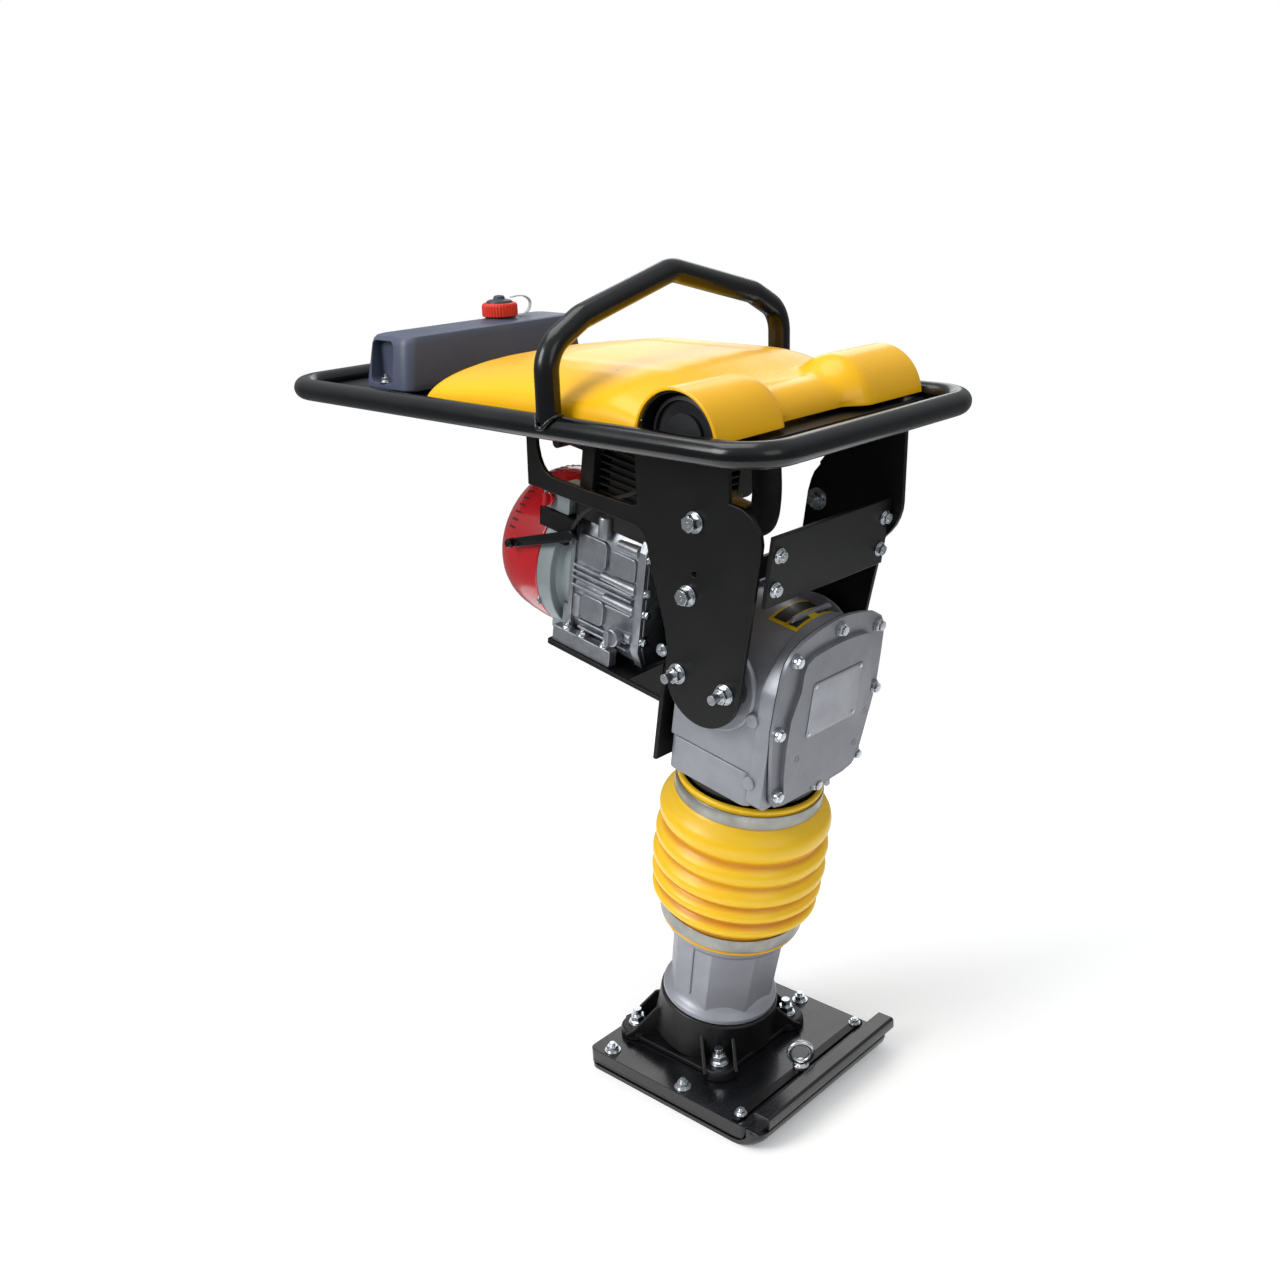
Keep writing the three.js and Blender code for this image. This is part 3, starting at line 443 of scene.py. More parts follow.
def build_fastener_group():
    """Hex-headed bolts or studs on points, each along its point's aim, turned at random about it."""
    group, ids = node_group("fasteners", [("Across Corners", "NodeSocketFloat", 15.0),
        ("Head Height", "NodeSocketFloat", 6.0), ("Washer Radius", "NodeSocketFloat", 9.0),
        ("Washer Thickness", "NodeSocketFloat", 1.6), ("Shank Radius", "NodeSocketFloat", 4.0),
        ("Shank Reach", "NodeSocketFloat", 0.5), ("Seed", "NodeSocketInt", 3),
        ("Material", "NodeSocketMaterial", None)])
    start = add(group, "NodeGroupInput")
    out = start.outputs

    def math_node(kind, a, b):
        return add(group, "ShaderNodeMath", {i: v for i, v in ((0, a), (1, b)) if isinstance(v, float)},
            {i: v for i, v in ((0, a), (1, b)) if not isinstance(v, float)}, operation=kind).outputs[0]

    def drum(sides, radius, depth, base):
        body = add(group, "GeometryNodeMeshCylinder", {"Vertices": sides}, {"Radius": radius, "Depth": depth})
        rise = add(group, "ShaderNodeCombineXYZ", None, {"Z": math_node("ADD", base,
            math_node("MULTIPLY", depth, 0.5))})
        return add(group, "GeometryNodeTransform", None, {"Geometry": body.outputs["Mesh"],
            "Translation": rise.outputs[0]}).outputs[0]

    half = math_node("MULTIPLY", out["Across Corners"], 0.5)
    zero = math_node("MULTIPLY", half, 0.0)
    top = math_node("ADD", out["Washer Thickness"], out["Head Height"])
    crown = math_node("MULTIPLY", half, 0.84)
    crown_high = math_node("MULTIPLY", half, 0.07)
    above = math_node("ADD", top, crown_high)
    collar = math_node("MULTIPLY", half, 1.12)
    collar_high = math_node("MULTIPLY", half, 0.2)
    parts = [drum(40, out["Washer Radius"], out["Washer Thickness"], zero),
        drum(40, collar, collar_high, out["Washer Thickness"]), drum(6, half, out["Head Height"],
        out["Washer Thickness"]), drum(32, crown, crown_high, top), drum(24, out["Shank Radius"],
        out["Shank Reach"], above)]
    joined = add(group, "GeometryNodeJoinGeometry")
    for part in parts:
        group.links.new(part, joined.inputs[0])
    aim = add(group, "GeometryNodeInputNamedAttribute", {"Name": "aim"}, data_type="FLOAT_VECTOR")
    facing = add(group, "FunctionNodeAlignRotationToVector", None, {"Vector": aim.outputs[0]}, axis="Z")
    spin = add(group, "FunctionNodeRandomValue", {2: 0.0, 3: 1.05}, {"Seed": out["Seed"]}, data_type="FLOAT")
    about = add(group, "FunctionNodeAxisAngleToRotation", {"Axis": (0, 0, 1)}, {"Angle": spin.outputs[1]})
    turned_by = add(group, "FunctionNodeRotateRotation", None, {0: facing.outputs[0], 1: about.outputs[0]},
        rotation_space="LOCAL")
    points = add(group, "GeometryNodeMeshToPoints", None, {"Mesh": out["Geometry"]})
    copies = add(group, "GeometryNodeInstanceOnPoints", None, {"Points": points.outputs[0],
        "Instance": joined.outputs[0], "Rotation": turned_by.outputs[0]})
    return closed_group(group, ids, copies, out["Material"])


FASTENERS = build_fastener_group()


def bolts(name, spots, size, place=LEG, body="machine", nodes=(), reach=0.6, washer=None, shank=0.5,
        high=0.62, thick=1.6):
    """spots are (point, direction) pairs; size is the head's width across corners."""
    cloud = bpy.data.meshes.new("spots")
    cloud.from_pydata([tuple(p) for p, _ in spots], [], [])
    aim = cloud.attributes.new("aim", "FLOAT_VECTOR", "POINT")
    for i, (_, way) in enumerate(spots):
        aim.data[i].vector = way
    mesh = grown(*FASTENERS, cloud, Across_Corners=float(size), Head_Height=float(size * high * 0.6),
        Washer_Radius=float(washer or size * 0.72), Washer_Thickness=float(thick),
        Shank_Radius=float(size * shank / 2), Shank_Reach=float(reach), Seed=len(spots), Material=ZINC)
    return piece(name, mesh, ZINC, nodes, place=place, body=body, edge=0.35)


def build_row_group():
    """Copies of a small bar in a straight row, as on cooling fins, ribs and vents."""
    group, ids = node_group("row of ribs", [("Count", "NodeSocketInt", 6),
        ("First", "NodeSocketVector", (0, 0, 0)), ("Step", "NodeSocketVector", (0, 0, 10)),
        ("Size", "NodeSocketVector", (10, 10, 2)), ("Material", "NodeSocketMaterial", None)])
    out = add(group, "NodeGroupInput").outputs
    line = add(group, "GeometryNodeMeshLine", None, {"Count": out["Count"], "Start Location": out["First"],
        "Offset": out["Step"]}, mode="OFFSET")
    rib = add(group, "GeometryNodeMeshCube", None, {"Size": out["Size"]})
    copies = add(group, "GeometryNodeInstanceOnPoints", None, {"Points": line.outputs[0],
        "Instance": rib.outputs["Mesh"]})
    return closed_group(group, ids, copies, out["Material"])


ROW = build_row_group()


def ribs(count, first, step, size, material):
    return grown(*ROW, bpy.data.meshes.new("row"), Count=count, First=first, Step=step, Size=size,
        Material=material)


def merged(*meshes):
    """Several meshes as one."""
    work = bmesh.new()
    for mesh in meshes:
        work.from_mesh(mesh)
    out = bpy.data.meshes.new("merged")
    work.to_mesh(out)
    work.free()
    return out


# ---------------------------------------------------------------- shoe
def sole():
    outline = [(-151.5, 0), (104, 0), (114, 0.8), (122, 2.2), (130, 4.8), (136, 7.6), (142, 12.4), (146, 17),
        (147.8, 21.5), (148, 26), (143.4, 27.4), (142.6, 23.4), (139, 18.4), (133, 13.8), (126, 10),
        (118, 7.6), (104, 6), (-151.5, 6)]
    half, corner, steps = 142.5, 16, 8
    rings = []
    for i in range(steps + 1):
        w = math.radians(90 * i / steps)
        rings.append((-half + corner - corner * math.cos(w), corner - corner * math.sin(w)))
    stations = rings + [(-y, inset) for y, inset in reversed(rings)]
    return shape(skin([[(max(x, -151.5 + inset) if x < 0 else x - inset * max(0, (x - 100) / 48), y, z) for x,
        z in outline] for y, inset in stations]))


def shoe():
    plate = piece("sole_wear_plate", sole(), (SHOE_PAINT, SOLE_STEEL), ["sole_plate"], place=GROUND,
        body="foot", edge=0.8)
    for polygon in plate.data.polygons:
        polygon.material_index = int(polygon.normal.z < -0.6)
    core = rounded(-150, 124, -141, 141, 9)
    layers = []
    for low, high, inset in ((6.3, 11, 0.6), (11.2, 28, 0)):
        outline = [(min(max(x, -150 + inset), 123.6 if high > 12.7 else 118),
            max(min(y, 141 - inset), inset - 141)) for x, y in core]
        layers.append(prism(outline, "z", low, high))
    piece("shoe_laminate", shape(*layers), SHOE_PAINT, ["shoe_core"], place=GROUND, body="foot", edge=1.2)
    nose = [(124.6, 13), (132, 16), (138, 22.5), (142, 28.4), (149, 29.2), (150.6, 32), (150.2, 43),
        (148, 45.8), (127, 45.4), (124.6, 43.2)]
    under = [(123, 11), (131, 13.6), (137, 18.6), (141.6, 25), (142.6, 28), (123, 28)]
    piece("toe_nose", shape(prism(nose, "y", -126, 149.6), prism(under, "y", -140.6, 140.6)), SHOE_PAINT,
        ["toe_bar"], place=GROUND, body="foot", edge=1.6)
    strip = sheet_metal(rounded(97, 109, -136, 136, 3), [circle(103, y, 4.5, 24) for y in (-124, 124)], "z",
        28.3, 31, 0.5)
    piece("toe_lip_strip", strip, PLATE_BLACK, ["toe_strip"], place=GROUND, body="foot", angle=16)
    bolts("shoe_bolts", [((x, y, 28.2), (0, 0, 1)) for x in (-119, 8) for y in (-126.5, 126.5)], 16,
        place=GROUND, body="foot", reach=4, washer=11)
    bolts("strip_bolts", [((103, y, 31.1), (0, 0, 1)) for y in (-124, 124)], 12, place=GROUND, body="foot",
        reach=2, washer=8)


def eye():
    """Lifting eye turned so that its ring faces the front right corner."""
    side = math.sqrt(0.5)
    ring = bar([(104 + 14.6 * math.cos(w) * side, 14.6 * math.cos(w) * side,
        53 + 14.6 * math.sin(w)) for w in (math.tau * i / 48 for i in range(48))], 3.8, 0, True, ZINC, 24)
    collar = shape(turned([(0, 31.3), (10.5, 31.3), (11, 32.5), (10.6, 35), (8, 36.4), (6, 38), (5.4, 40.6),
        (0, 40.6)], "z", 104, 0, 40))
    piece("eye_bolt_ring", merged(ring, collar), ZINC, ["eye_bolt"], place=GROUND, body="foot")


def foot_casting():
    spots = [(x, y) for x in (-122, 25) for y in (-72, 72)]
    flat = shape(prism(rounded(-134, 38, -88, 88, 24, 10), "z", 28.3, 35),
        *[turned([(0, 28.3), (24, 28.3), (23.4, 38), (21.5, 42), (0, 42)], "z", x, y, 40) for x, y in spots])
    flat.transform(GROUND)
    middle = -48.5
    ribs_at = []
    for x, y in spots:
        away = math.hypot(x - middle, y)
        turn = Matrix.Translation((middle, 0, 0)) @ Matrix.Rotation(math.atan2(y, x - middle), 4, "Z")
        for shift in (-20.5, 20.5):
            points, faces = prism([(56, 33), (away + 17, 33), (away + 17, 39), (away + 8, 43), (76, 78),
                (56, 80)], "y", shift - 2.4, shift + 2.4)
            ribs_at.append(([turn @ Vector(p) for p in points], faces))
    webs = shape(*ribs_at)
    webs.transform(GROUND)
    hub = shape(turned([(73, 44), (84, 40), (82, 60), (80.4, 76), (79.6, 97), (77.6, 99.5), (73, 99.5)], "z",
        0, 0, 96))
    hub.transform(LEG)
    for v in hub.vertices:
        v.co.z = max(v.co.z, 0.0288)
    piece("foot_casting", merged(flat, webs, hub), CAST_BLACK, ["foot_flange"], place=Matrix(), body="foot",
        edge=1.4)
    for i, (x, y) in enumerate(spots):
        bolts(f"foot_nut_{i + 1}", [((x, y, 42.1), (0, 0, 1))], 20, place=GROUND, body="foot", reach=9,
            washer=12.4, shank=0.6, high=0.84, thick=2.8, nodes=[f"foot_stud_{i + 1}"])


# ---------------------------------------------------------------- leg and bellows
def leg_casting():
    """Round collars at both ends, an eight-sided waist that widens upwards between them."""
    foot = turned([(60, 50), (72.4, 50), (72.4, 98), (76, 100.4), (77, 102), (77, 107), (75.6, 108.6),
        (72.6, 110.4), (69.6, 113.4), (67, 117.6), (64.8, 123), (60, 123)], steps=96)
    mouth = turned([(60, 210), (78, 210), (83.6, 215.5), (85.2, 220), (85.2, 258), (60, 258)], steps=96)
    levels = []
    for s, r in ((110, 69.5), (124, 71.4), (150, 72.5), (185, 74.4), (218, 76)):
        levels.append([(r * math.cos(w), r * math.sin(w), s) for w in (math.radians(22.5 + 45 * k)
            for k in range(8))])
    waist = skin(levels)
    seams = [prism([(way * 62, 122), (way * 68.4, 126), (way * 72.4, 216), (way * 62, 216)], "x", -1.2,
        1.2) for way in (-1, 1)]
    piece("leg_casting", shape(foot, waist, mouth, *seams), SILVER, ["leg_tube"], body="foot", edge=1.8,
        angle=28)


BELLOWS = [(84.5, 226.6), (88.6, 226.4), (91.2, 228), (92, 230.5), (91, 233.4), (91, 252.6), (92, 256),
    (97, 261), (104, 265.6), (107.6, 270.6), (107.2, 275.6), (101.6, 281), (100.4, 284), (104, 288.4),
    (109, 292.4), (110.4, 297), (109, 301.6), (103.4, 306.6), (102, 309.4), (105.4, 313.6), (110.6, 318),
    (112, 324), (110.8, 330), (104.4, 336.6), (102.6, 340), (105.4, 344.6), (110, 350), (111, 356),
    (109.6, 362), (103.2, 369), (101.6, 372.8), (104, 378), (108, 384), (109.6, 391), (109, 398), (106, 405),
    (100, 411.4), (94.6, 415.6), (91.6, 419), (91, 423), (91, 440), (92.4, 442), (92.4, 444.4), (90.6, 446),
    (87, 446)]


def bellows():
    outer = smooth_line(BELLOWS, 3)
    inner = [(r - 4, s) for r, s in reversed(smooth_line(BELLOWS[3:-3], 2))]
    item = piece("bellows_skin", shape(turned(outer + inner, steps=128)), BELLOWS_YELLOW, ["bellows"],
        body=None, angle=70)
    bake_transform(item)


def hose_clamp(name, s0, s1, body, node):
    band = shape(turned([(91.3, s0), (93.6, s0), (93.8, s0 + 0.8), (93.8, s1 - 0.8), (93.6, s1), (91.3, s1)],
        steps=128))
    mid = (s0 + s1) / 2
    screw = shape(box(-11, 11, -107, -92, mid - 6.5, mid + 6.5), turned([(0, -18), (4, -18), (4, 17),
        (0, 17)], "x", -100, mid, 24))
    turn = Matrix.Rotation(math.radians(150), 4, "Z")
    screw.transform(turn)
    piece(name, merged(band, screw), BAND_STEEL, [node], body=body, edge=0.5)


# ---------------------------------------------------------------- drive case
def case_outline(half, low, radius, trim):
    lift = 586 + radius * math.sin(math.radians(18))
    return ([(-half + trim, low), (half - trim, low), (half, low + trim), (half, lift - 18)] + arc(0, 586,
        radius, 18, 162, 40) + [(-half, lift - 18), (-half, low + trim)])


def drive_case():
    upper = prism(case_outline(95, 509, 100, 2), "x", -58, 68)
    lower = prism(rounded(-58, 68, -96.5, 96.5, 12), "z", 465, 510)
    rim = prism(case_outline(98, 468, 103, 8), "x", 66, 87.6)
    sides = []
    for way in (-1, 1):
        profile = [(0, way * 93), (61, way * 93), (59.6, way * 97.4), (57.6, way * 99), (0, way * 99)]
        sides.append(turned(profile, "y", 0, 604, 72))
        for u, s in ((-38, 607), (33, 610)):
            sides.append(turned([(0, way * 97), (14, way * 97), (13, way * 103), (0, way * 103)], "y", u, s,
                32))
        for u, s in ((61, 581), (68, 501)):
            sides.append(turned([(0, way * 90), (9, way * 90), (8.4, way * 101), (0, way * 101)], "y", u, s,
                28))
    rib = [prism([(-40, 684), (40, 684), (34, 690), (-34, 690)], "x", u, u + 5) for u in (-40, 50)]
    piece("drive_case_shell", shape(upper, lower, rim, *sides, *rib), SILVER, ["drive_case"], edge=2.2,
        angle=30)
    cuff = shape(turned([(46, 440), (82, 446), (86, 452), (86, 465), (46, 465)], steps=96))
    piece("case_collar", cuff, BLACK_PLASTIC, edge=1)


SHIELD = [(0, 466), (60, 468), (78, 472), (86, 481), (90, 498), (97, 540), (102.4, 578), (100.5, 620),
    (98, 650), (94, 664), (86, 675), (70, 684), (44, 691), (20, 695), (0, 696.4)]


def shield(inset):
    right = [(y - inset * min(1, y / 60), s + inset * (580 - s) / 114) for y, s in SHIELD]
    return right + [(-y, s) for y, s in reversed(right[1:-1])]


def case_cover():
    gasket = prism(shield(0.6), "x", 88.2, 89.4)
    rim = prism(shield(0), "x", 89.6, 94.6)
    half_panel = [(0, 668), (26, 667), (52, 664), (64, 658), (67.5, 648), (68, 625), (80, 590), (80.5, 552),
        (77, 515), (72, 487), (64, 481), (0, 480)]
    panel = half_panel + [(-y, s) for y, s in reversed(half_panel[1:-1])]
    raised = prism(panel, "x", 94, 101)
    dimples = [turned([(2.6, 100.6), (4.6, 100.6), (4.6, 101.5), (2.6, 101.5)], "x", y, s, 24) for y,
        s in ((-56, 533), (64, 511), (75, 551))]
    piece("case_front_cover", shape(rim, raised, *dimples), COVER_SILVER, ["case_cover"], edge=2.6, angle=28)
    piece("cover_gasket", shape(gasket), RUBBER)
    spots = [(80, 665), (-80, 665), (0, 682), (95, 577), (-95, 577), (79, 489), (-79, 489), (0, 475)]
    pads = [turned([(0, 92), (9.4, 92), (9, 96.6), (0, 96.6)], "x", y, s, 32) for y, s in spots]
    piece("cover_screw_pads", shape(*pads), COVER_SILVER, edge=0.8)
    bolts("cover_screws", [((96.7, y, s), (1, 0, 0)) for y, s in spots], 12.5, reach=0.3, washer=7.6)
    plate = sheet_metal(rounded(-46, 52, 556, 628, 5), [], "x", 101.1, 101.9, 0.2)
    piece("blank_rating_plate", plate, BLANK_PLATE, ["rating_plate"])
    bolts("plate_rivets", [((101.8, y, s), (1, 0, 0)) for y in (-41, 47) for s in (561, 623)], 4, reach=0.1,
        washer=2.6, thick=0.3, high=0.2)


def dome_decal():
    """Two-tone vinyl label wrapped over the top of the case; it carries no words."""
    def patch(start, end, u0, u1, lift):
        rings = [[(u, (100 + lift) * math.sin(w), 586 + (100 + lift) * math.cos(w)) for u in (u0,
            u1)] for w in (math.radians(start + (end - start) * i / 24) for i in range(25))]
        return skin(rings, closed_ring=False, caps=False)
    yellow = shape(patch(-24, 22, 22, 64, 0.5))
    black = shape(patch(-21, 19, 26, 44, 0.8), patch(-21, -6, 48, 60, 0.8), patch(2, 19, 48, 60, 0.8))
    piece("case_label_yellow", yellow, DECAL_YELLOW)
    piece("case_label_black", black, DECAL_BLACK)


# ---------------------------------------------------------------- side frames
def strap_arc():
    return leg_to_handle(arc(-2, 609, 55, 0, -180, 36))


def side_plates():
    lower = strap_arc()
    near = ([(-1, -155)] + leg_to_handle([(-66, 655), (-58, 630)]) + lower[::-1] + leg_to_handle([(55, 745),
        (56, 780), (55.5, 798), (52, 809), (47, 816), (40, 822), (32, 827), (22, 830)]) + [(119, -76),
        (119, -9), (-198, -9), (-200, -98)] + leg_to_handle([(-283, 758), (-126, 762), (-112, 756),
        (-105, 745)]))
    window = [(-18, -30), (-18, -97), (-24, -99), (-96, -92), (-140, -86), (-158, -83), (-168, -78),
        (-174, -71), (-178, -62), (-181, -48), (-181, -30)]
    holes = leg_to_handle([(-31, 735)])
    near_mesh = sheet_metal(near, [window, circle(*holes[0], 3.5, 20)], "y", -119, -113, 0.9)
    piece("side_frame_near", near_mesh, PLATE_BLACK, ["side_plate_near"], place=HANDLE, angle=16)
    far = ([(190, -9), (189, -60), (188, -112), (187, -121), (184, -131), (179, -141), (172, -150),
        (162, -160)] + lower + leg_to_handle([(-54, 721), (-54, 780), (-52, 795), (-49, 806),
        (-42, 817)]) + [(70, -78), (80, -66), (81, -9)])
    far_mesh = sheet_metal(far, [], "y", 113, 119, 0.9)
    piece("side_frame_far", far_mesh, PLATE_BLACK, ["side_plate_far"], place=HANDLE, angle=16)
    cross = sheet_metal([(-112, 726), (112, 726), (112, 809), (-112, 809)],
        [circle(y, s, 5, 20) for y in (-100, 100) for s in (747, 787)], "x", 60.5, 66.5, 0.9)
    piece("front_cross_plate", cross, PLATE_BLACK, ["cross_plate"], angle=16)
    bolts("cross_plate_bolts", [((66.7, y, s), (1, 0, 0)) for y in (-100, 100) for s in (747, 787)], 14,
        washer=9, reach=1)
    big = [((u, way * 119.2, s), (0, way, 0)) for way in (-1, 1) for u, s in ((-38, 795), (-36, 707))]
    bolts("side_frame_bolts", big, 20, washer=12.5, reach=0.6, thick=2.4, high=0.85, shank=0.3)
    low = [((u, way * 119.2, s), (0, way, 0)) for way in (-1, 1) for u, s in ((-38, 607), (33, 610))]
    bolts("case_mount_nuts", low, 20, washer=12.5, reach=13, thick=2.4, shank=0.58, high=0.7)
    back = [((u, way * 112.8, s), (0, -way, 0)) for way, spots in ((-1, ((-38, 795), (-36, 707))),
        (1, ((-38, 774), (-36, 707), (30, 771)))) for u, s in spots]
    bolts("side_frame_nuts", back, 19, washer=14, reach=3)


# ---------------------------------------------------------------- handle
def handle():
    u0, u1, y = -570.9, 225.9, 202.5
    rail = bar([(u0, -y, 0), (u1, -y, 0), (u1, y, 0), (u0, y, 0)], 14, 50, True, POWDER, 40, 14)
    piece("handle_rail", rail, POWDER, ["handle_loop"], place=HANDLE, angle=60)
    path = [(-63, -205, 8), (-63, -205, 84), (-63, -150, 113), (-63, 0, 152), (-63, 150, 113), (-63, 205, 84),
        (-63, 205, 8)]
    arch = bar(path, 14, 42, False, POWDER, 40, 10)
    piece("lifting_arch", arch, POWDER, ["lift_arch"], place=HANDLE, angle=60)
    beads = []
    for way in (-1, 1):
        ring = []
        for i in range(72):
            w = 2 * math.pi * i / 72
            x, yy = 15.2 * math.cos(w), 15.2 * math.sin(w)
            rise = math.sqrt(max(0.0, 14.6 ** 2 - min(14.5, abs(yy)) ** 2))
            ring.append((-63 + x, way * 205 + yy, rise + 0.6 * math.sin(w * 24)))
        beads.append(bar(ring, 2.4, 0, True, POWDER, 12))
    piece("arch_weld_beads", merged(*beads), POWDER, place=HANDLE, angle=60)
    rear = sheet_metal(rounded(-555, -318, -188, 188, 34), [], "z", -6, -2, 0.6)
    piece("rear_deck_sheet", rear, PLATE_BLACK, ["rear_deck"], place=HANDLE, angle=16)
    front = sheet_metal(rounded(-208, 168, -188, 188, 5), [rounded(-190, 20, -160, 160, 12)], "z", -6, -2,
        0.6)
    piece("front_deck_sheet", front, PLATE_BLACK, ["front_deck"], place=HANDLE, angle=16)


# ---------------------------------------------------------------- tank and hood
def tank():
    def level(inset, s, r):
        return [(u, y, s) for u, y in rounded(-466 + inset, -372 - inset * 0.45, inset - 158, 158 - inset, r,
            6)]
    rings = [level(2, 3, 14), level(0, 5, 15), level(0.4, 12, 15), level(7, 60, 16), level(9, 66, 16),
        level(12, 69.6, 16), level(17, 71, 14)]
    shell = shape(skin(rings))
    cutter = []
    for way in (-1, 1):
        low, high = sorted((way * 138, way * 170))
        cutter.append(prism(rounded(-449, -404, 10, 64, 9), "y", low, high))
    cut = bpy.data.objects.new("recess", shape(*cutter))
    carrier = bpy.data.objects.new("carrier", shell)
    for item in (cut, carrier):
        bpy.context.collection.objects.link(item)
    modifier = carrier.modifiers.new("cut", "BOOLEAN")
    modifier.operation = "DIFFERENCE"
    modifier.object = cut
    mesh = bpy.data.meshes.new_from_object(carrier.evaluated_get(bpy.context.evaluated_depsgraph_get()))
    for item in (cut, carrier):
        bpy.data.objects.remove(item)
    ledge = [prism(rounded(-448, -405, way * 148 - 9, way * 148 + 9, 4), "z", 3, 11) for way in (-1, 1)]
    neck = turned([(0, 68), (27, 68), (26, 71.5), (21, 73), (21, 73.6), (0, 73.6)], "z", -420, 45, 48)
    piece("fuel_tank_body", merged(mesh, shape(*ledge, neck)), TANK_SLATE, ["fuel_tank"], place=HANDLE,
        edge=2.2, angle=30)
    bolts("tank_bolts", [((-426, way * 150, 11.2), (0, 0, 1)) for way in (-1, 1)], 13, place=HANDLE,
        washer=10, reach=3)


def fuel_cap():
    steps, rings = 216, []
    profile = [(18.6, 77), (22.5, 75.2), (24, 76.5), (24, 90), (22.6, 92.8), (20.5, 93.6), (18.6, 93.4)]
    for i in range(steps):
        w = 2 * math.pi * i / steps
        grip = 0.55 * math.cos(36 * w)
        rings.append([(-420 + (r + (grip if 75.5 < s < 91 and r > 23 else 0)) * math.cos(w),
            45 + (r + (grip if 75.5 < s < 91 and r > 23 else 0)) * math.sin(w), s) for r, s in profile])
    piece("fuel_cap_ring", shape(skin(rings, loop=True)), CAP_RED, ["cap_ring"], place=HANDLE,
        body="cap_ring", edge=0.5, angle=50)
    dome = turned([(0, 74.6), (18, 74.6), (18, 94), (16.8, 96.2), (13, 97.4), (9, 97.8), (8, 98.4),
        (7.6, 101), (6, 102.6), (3, 103.2), (0, 103.2)], "z", -420, 45, 64)
    piece("fuel_cap_insert", shape(dome), CAP_DARK, ["cap_insert"], place=HANDLE, body="cap_insert", edge=0.5,
        angle=40)
    path = smooth_line([(-420, 66, 98.4), (-420, 78, 99.4), (-420, 92, 97.4), (-420, 101, 90), (-420, 98, 79),
        (-420, 88, 73.8), (-420, 74, 72.9)], 6)
    rings = []
    for i, p in enumerate(path):
        before, after = Vector(path[max(i - 1, 0)]), Vector(path[min(i + 1, len(path) - 1)])
        way = (after - before).normalized()
        out = way.cross(Vector((1, 0, 0))).normalized()
        rings.append([tuple(Vector(p) + Vector((1, 0, 0)) * a + out * b) for a,
            b in ((-2.6, -0.8), (2.6, -0.8), (2.6, 0.8), (-2.6, 0.8))])
    piece("cap_keeper_strap", shape(skin(rings)), STRAP_CLEAR, ["cap_strap"], place=HANDLE, edge=0.4)


def ease(x, low, high):
    t = max(0.0, min(1.0, (x - low) / (high - low)))
    return t * t * (3 - 2 * t)


def hood_height(u, y):
    """Height of the hood's main shell over the handle plane."""
    across = [(0, 61), (60, 60), (100, 56.5), (130, 51), (150, 45.5), (163, 40.5), (174, 34), (181, 28),
        (185.4, 21), (187.2, 14), (187.8, 8)]
    y = min(abs(y), 187.8)
    for (a, ha), (b, hb) in zip(across, across[1:]):
        if y <= b:
            high = ha + (hb - ha) * (y - a) / (b - a)
            break
    rear = 0.74 + 0.26 * ease(u, -306, -150)
    front = 1 - 0.48 * ease(u, -10, 104)
    plateau = 2.2 * ease(u, -235, -170) * (1 - ease(y, 84, 104)) * (1 - ease(u, -20, 40))
    return max(high * rear * front - plateau, 5.5)


def tunnel_radius(y):
    return 37 + 20 * ease(abs(y), 50, 82)


def hood_top(u, y):
    """The shell and the crosswise tunnel run into each other with a soft valley."""
    shell, r = hood_height(u, y), tunnel_radius(y)
    tunnel = math.sqrt(max(r * r - (u - 105) ** 2, 0.0))
    soft = max(5.0 - abs(shell - tunnel), 0.0)
    return max(shell, tunnel) + soft * soft / 20.0


def hood():
    ys = sorted({round(187.8 * math.sin(math.pi / 2 * i / 44), 3) for i in range(45)})
    stations = [-y for y in reversed(ys[1:])] + ys
    rows = []
    for y in stations:
        r = tunnel_radius(y)
        foot = math.asin(4 / r)
        back = hood_height(-300, y)
        row = [(-300, y, 4), (-300.6, y, back * 0.45 + 2), (-299.4, y, max(back - 5, 4.4))]
        for i in range(60):
            u = -297 + 345 * i / 60
            drop = 4.5 * (1 - ease(u, -297, -284)) ** 2
            row.append((u, y, max(hood_height(u, y) - drop, 4.5) if u < 40 else max(hood_top(u, y), 4.5)))
        for i in range(40):
            u = 105 - 57 * math.cos(math.pi / 2 * i / 40)
            row.append((u, y, max(hood_top(u, y), 4.5)))
        for i in range(31):
            w = math.pi / 2 + (math.pi / 2 - foot) * i / 30
            row.append((105 - r * math.cos(w), y, max(r * math.sin(w), 4)))
        rows.append(row)
    points, faces = skin(rows, closed_ring=False, caps=False)
    mesh = mesh_of(points, faces)
    work = bmesh.new()
    work.from_mesh(mesh)
    inner = [v for v in work.verts if not v.is_boundary and (v.co.x > -30 or v.co.x < -270) and v.co.z > 9]
    for _ in range(3):
        bmesh.ops.smooth_vert(work, verts=inner, factor=0.5, use_axis_x=True, use_axis_y=True,
            use_axis_z=True)
    if sum(f.normal.z * f.calc_area() for f in work.faces) < 0:
        bmesh.ops.reverse_faces(work, faces=work.faces)
    work.to_mesh(mesh)
    work.free()
    item = piece("hood_shell", mesh, HOOD_YELLOW, ["hood"], place=HANDLE, angle=180)
    wall = item.modifiers.new("wall", "SOLIDIFY")
    wall.thickness = 0.0034
    wall.offset = -1
    rim = item.modifiers.new("rim", "BEVEL")
    rim.width = 0.0009
    rim.segments = 2
    rim.limit_method = "ANGLE"
    rim.angle_limit = math.radians(50)


